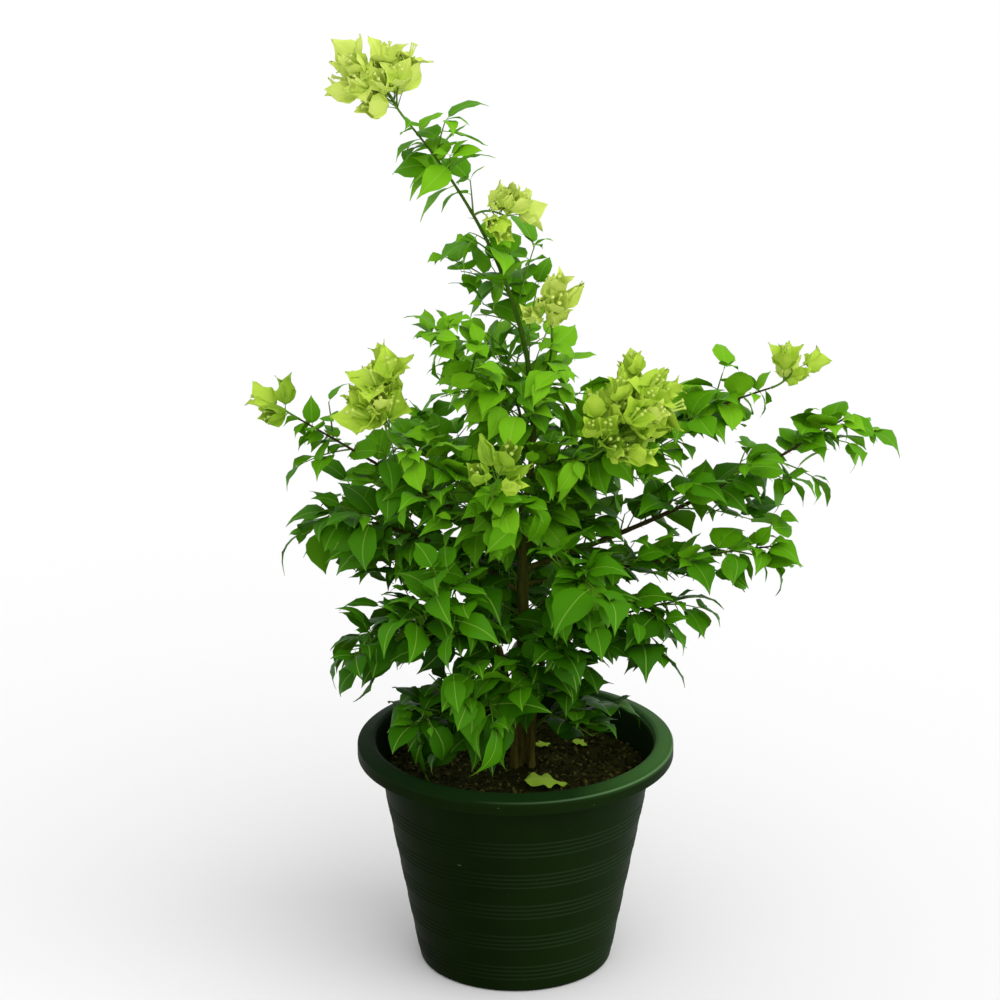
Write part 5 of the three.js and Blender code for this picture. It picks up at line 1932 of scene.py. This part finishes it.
# %% Flower heads in their clusters
BRACT_LENGTH = 33
HEAD_RADIUS = 0.62
CLOSED_CLUSTERS = ("bloom_front", "bloom_leader_low")
CLOSED_HEAD_RADIUS = 0.40
CLOSED_SPACING = 0.42
HEAD_SPACING = 0.95
FINE_HEAD_SPACING = 0.55
HEAD_OUTWARD, HEAD_FORWARD = 0.8, 0.55
HEAD_LIFT = (0.15, 0.5)
HEAD_SIZE = (0.82, 1.12)
HEAD_REACH = (0.3, 1)
FIRST_HEAD, LAST_HEAD = 0.25, 0.98
FINE_HEADS = 3.0
FEWER_HEADS = {"bloom_far_left": 0, "bloom_front": 0.2}
FINE_HEAD_SIZE = (0.62, 1.02)
FINE_HEAD_PLACE = 0.37
HEAD_MIDDLE = 0.6
HEAD_TEST_HEIGHTS, HEAD_TEST_SIDES = (0.3, 0.65, 1), 6
HEAD_SEED_STEP, FINE_HEAD_SEED = 89, 3


def head_points(end, axis, size, turn, radius):
    points = []
    for height in HEAD_TEST_HEIGHTS:
        for side in range(HEAD_TEST_SIDES):
            radial = aside(axis, turn + FULL_TURN * side / HEAD_TEST_SIDES)
            points.append(end + axis * height * size + radial * size * radius * math.sqrt(height))
    return np.array(points)


def add_head(spray, k, t, random, sizes, spacing):
    """Tries a head at a node of the shoot, on a stalk that is turned and shortened until it fits."""
    limb = spray.limb
    closed = limb.name in CLOSED_CLUSTERS
    radius = CLOSED_HEAD_RADIUS if closed else HEAD_RADIUS
    spacing = CLOSED_SPACING if closed else spacing
    node, along = limb.node(min(t, LAST_HEAD)), limb.along(t)
    length = limb.spread * between(HEAD_REACH, random)
    lift = between(HEAD_LIFT, random)
    size = BRACT_LENGTH * between(sizes, random)
    roll = FULL_TURN * next(random)
    for attempt in range(TRIES):
        axis = aside(along, k * GOLDEN_ANGLE + attempt * TRY_TURN) * HEAD_OUTWARD
        axis = unit(axis + along * HEAD_FORWARD + UP * lift)
        end = node + axis * length * (1 - TWIG_SHRINK * attempt)
        centre = end + axis * HEAD_MIDDLE * size
        near = any(np.linalg.norm(head["centre"] - centre) < spacing * size for head in spray.leaves)
        points = head_points(end, axis, size, roll, radius)
        if near or not spray.fits(points):
            continue
        spray.leaves.append({"root": node, "end": end, "centre": centre, "axis": axis,
                             "size": size, "roll": roll})
        return


print("a head is tested at", len(head_points(UP, UP, 1, 0, 1)), "points")

# %% Heads on each cluster
clusters = []
for limb in leafy:
    if not limb.heads:
        continue
    spray = Spray(limb, 0)
    for k in range(1, limb.heads + 1):
        random = seeded(seed_of(limb.name) + HEAD_SEED_STEP * k)
        t = FIRST_HEAD + (LAST_HEAD - FIRST_HEAD) * k / limb.heads
        add_head(spray, k, t, random, HEAD_SIZE, HEAD_SPACING)
    own = len(spray.leaves)
    spray.keep_inside = True
    random = seeded(seed_of(limb.name) + FINE_HEAD_SEED)
    for k in range(round(limb.heads * FINE_HEADS * FEWER_HEADS.get(limb.name, 1))):
        t = FIRST_HEAD + (LAST_HEAD - FIRST_HEAD) * next(random)
        add_head(spray, k + FINE_HEAD_PLACE, t, random, FINE_HEAD_SIZE, FINE_HEAD_SPACING)
    clusters.append(spray)
    print(limb.name, own, "heads of the part's own,", len(spray.leaves), "in all")

# %% Bract colours and pieces
# Three greens for the heads, from pale to green, dealt out below as painted light and shade.
BRACT_TONES = {
    "pale": (0.68, 0.82, 0.15),
    "lime": (0.48, 0.69, 0.05),
    "green": (0.28, 0.48, 0.02),
}
BRACT_LAYERS = {
    "bract": ((0, 0, 0), 0, 0.62),
    "bract vein": ((0.14, 0.28, 0.01), 0.26, 0.6),
    "bract back": ((0.22, 0.38, 0.02), 0.10, 0.68),
    "flower tube": ((0.66, 0.74, 0.22), 0.35, 0.5),
}
BRACT_GLOSS = 0.3


def bract_finishes(tone):
    """A tone's finishes. Each layer has a colour that is mixed in, its share, and a roughness."""
    finishes = []
    for layer, (other, share, roughness) in BRACT_LAYERS.items():
        colour = mixed(BRACT_TONES[tone], other, share)
        finishes.append(Finish(f"{layer} {tone}", colour, roughness, BRACT_GLOSS))
    return finishes


CLOSED_STAGES = (0, 6, 1)
SMALL_HEAD, BUD_CHANCE = 0.72, 0.6
# Painted light and shade on the heads: a head is painted paler the higher it sits, with chance, and these
# clusters are painted lighter or darker.
CLUSTER_PAINTED_LIGHT = {"bloom_leader_low": 0.25, "bloom_front": -0.12, "bloom_far_left": -0.25}
DARKEST_HEIGHT, LIGHT_SPAN, HEAD_CHANCE = 480, 500, 0.5
BRACT_STEPS = (0.62, 0.2)
HEAD_SEED = 41
STALK_TUBE_RADIUS = 0.6


def stage_of(head, closed, random):
    """The stage of a head: small ones are mostly buds, and a closed cluster has only narrow stages."""
    small = head["size"] < SMALL_HEAD * BRACT_LENGTH
    if small and next(random) < BUD_CHANCE:
        stage = 0
    else:
        stage = 1 + int(next(random) * (len(HEAD_STAGES) - 1))
    return CLOSED_STAGES[stage % len(CLOSED_STAGES)] if closed else stage


print("greens of the bracts:", len(BRACT_TONES))

# %% Heads in their greens
tone_names = list(BRACT_TONES)
head_places = {tone: [] for tone in tone_names}
stalk_shape = Shape()
head_random = seeded(HEAD_SEED)
for spray in clusters:
    add_shoot(stalk_shape, spray.limb, 0)
    for head in spray.leaves:
        stage = stage_of(head, spray.limb.name in CLOSED_CLUSTERS, head_random)
        across = aside(head["axis"], head["roll"])
        axes = (across, np.cross(head["axis"], across), head["axis"])
        light = (head["centre"][2] - DARKEST_HEIGHT) / LIGHT_SPAN + HEAD_CHANCE * next(head_random)
        light += CLUSTER_PAINTED_LIGHT.get(spray.limb.name, 0)
        tone = tone_names[sum(light <= step for step in BRACT_STEPS)]
        head_places[tone].append((head["end"], axes, head["size"], stage))
        add_twig_tube(stalk_shape, head["root"], head["end"], STALK_TUBE_RADIUS, 0)

head_shapes = collection_of("head", head_meshes)
for tone in tone_names:
    finishes = bract_finishes(tone)
    mesh = placed(f"bracts_{tone}", head_places[tone], head_shapes, finishes)
    piece(f"bracts_{tone}", mesh, finishes, bloom_nodes)
drop_shapes(head_shapes)
piece("flower_stalks", stalk_shape.mesh("flower_stalks", MM), [green_shoot], bloom_nodes)

# %% [markdown]
# Three bracts have dropped on the soil. They have crumpled as they dried: pale blades with wavy edges,
# whose ends lift off the crumbs.

# %% Fallen bracts
FALLEN_LAYERS = {
    "dropped bract": ((0.30, 0.50, 0.035), 0.7),
    "dropped bract vein": ((0.42, 0.58, 0.08), 0.7),
    "dropped bract back": ((0.32, 0.48, 0.05), 0.75),
}
FALLEN_GLOSS = 0.1
FALLEN_CLEAR = 2.2
FALLEN_FORWARD = (11, 0, 0)
FALLEN_HEADINGS = (8, 40, -30)
FALLEN_LENGTH, FALLEN_WIDTH = 0.97, 0.37
FALLEN_ROWS = np.linspace(0, 1, 17)
FALLEN_COLUMNS = (-1, -0.8, -0.55, -0.28, 0.28, 0.55, 0.8, 1)
FALLEN_BEND, FALLEN_HOOK = 22 * DEGREE, -0.5
FALLEN_RIPPLE, FALLEN_RIPPLES = 0.13, 26
FALLEN_CURL, FALLEN_CURLS, CURL_POWER, CURL_SIDE = 0.045, 17, 1.5, 2
FALLEN_ARCH, FALLEN_SINK = 0.04, 0.03
FALLEN_THICKNESS = 0.012

fallen_shape = Shape()
for number, name in enumerate(fallen_nodes):
    low, high = (np.array(corner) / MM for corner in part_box(name))
    centre = (low + high) / 2
    length = FALLEN_LENGTH * max(high[0] - low[0], high[1] - low[1])
    heading = FALLEN_HEADINGS[number] * DEGREE
    flat = Shape()
    middle, normal = arc(FALLEN_BEND, FALLEN_ROWS, FALLEN_HOOK)
    half = FALLEN_WIDTH * np.interp(FALLEN_ROWS, BRACT_ROWS, BRACT_HALF_WIDTHS)
    half *= 1 + FALLEN_RIPPLE * np.sin(FALLEN_RIPPLES * FALLEN_ROWS + number)

    def lift(across, row):
        u = FALLEN_ROWS[row]
        wave = math.sin(FALLEN_CURLS * u + CURL_SIDE * np.sign(across) + number)
        curl = FALLEN_CURL * abs(across) ** CURL_POWER * wave
        return curl + FALLEN_ARCH * math.sin(math.pi * u) - FALLEN_SINK * across * across

    blade(flat, middle, normal, half, FALLEN_COLUMNS, lift, FALLEN_THICKNESS)
    points = np.concatenate(flat.points) * length
    points -= (points.min(axis=0) + points.max(axis=0)) / 2
    along = np.array([math.cos(heading), math.sin(heading), 0])
    side = np.cross(along, UP)
    points = points[:, 0:1] * side + points[:, 1:2] * along + points[:, 2:3] * UP
    lift_off = SOIL_LEVEL + FALLEN_CLEAR - points[:, 2].min()
    points += np.array([centre[0], centre[1] - FALLEN_FORWARD[number], lift_off])
    fallen_shape.add(points, flat.faces, flat.parts, flat.sharp)
finishes = [Finish(name, colour, roughness, FALLEN_GLOSS)
            for name, (colour, roughness) in FALLEN_LAYERS.items()]
piece("fallen_bracts", fallen_shape.mesh("fallen_bracts", MM), finishes, fallen_nodes)

bpy.context.view_layer.update()
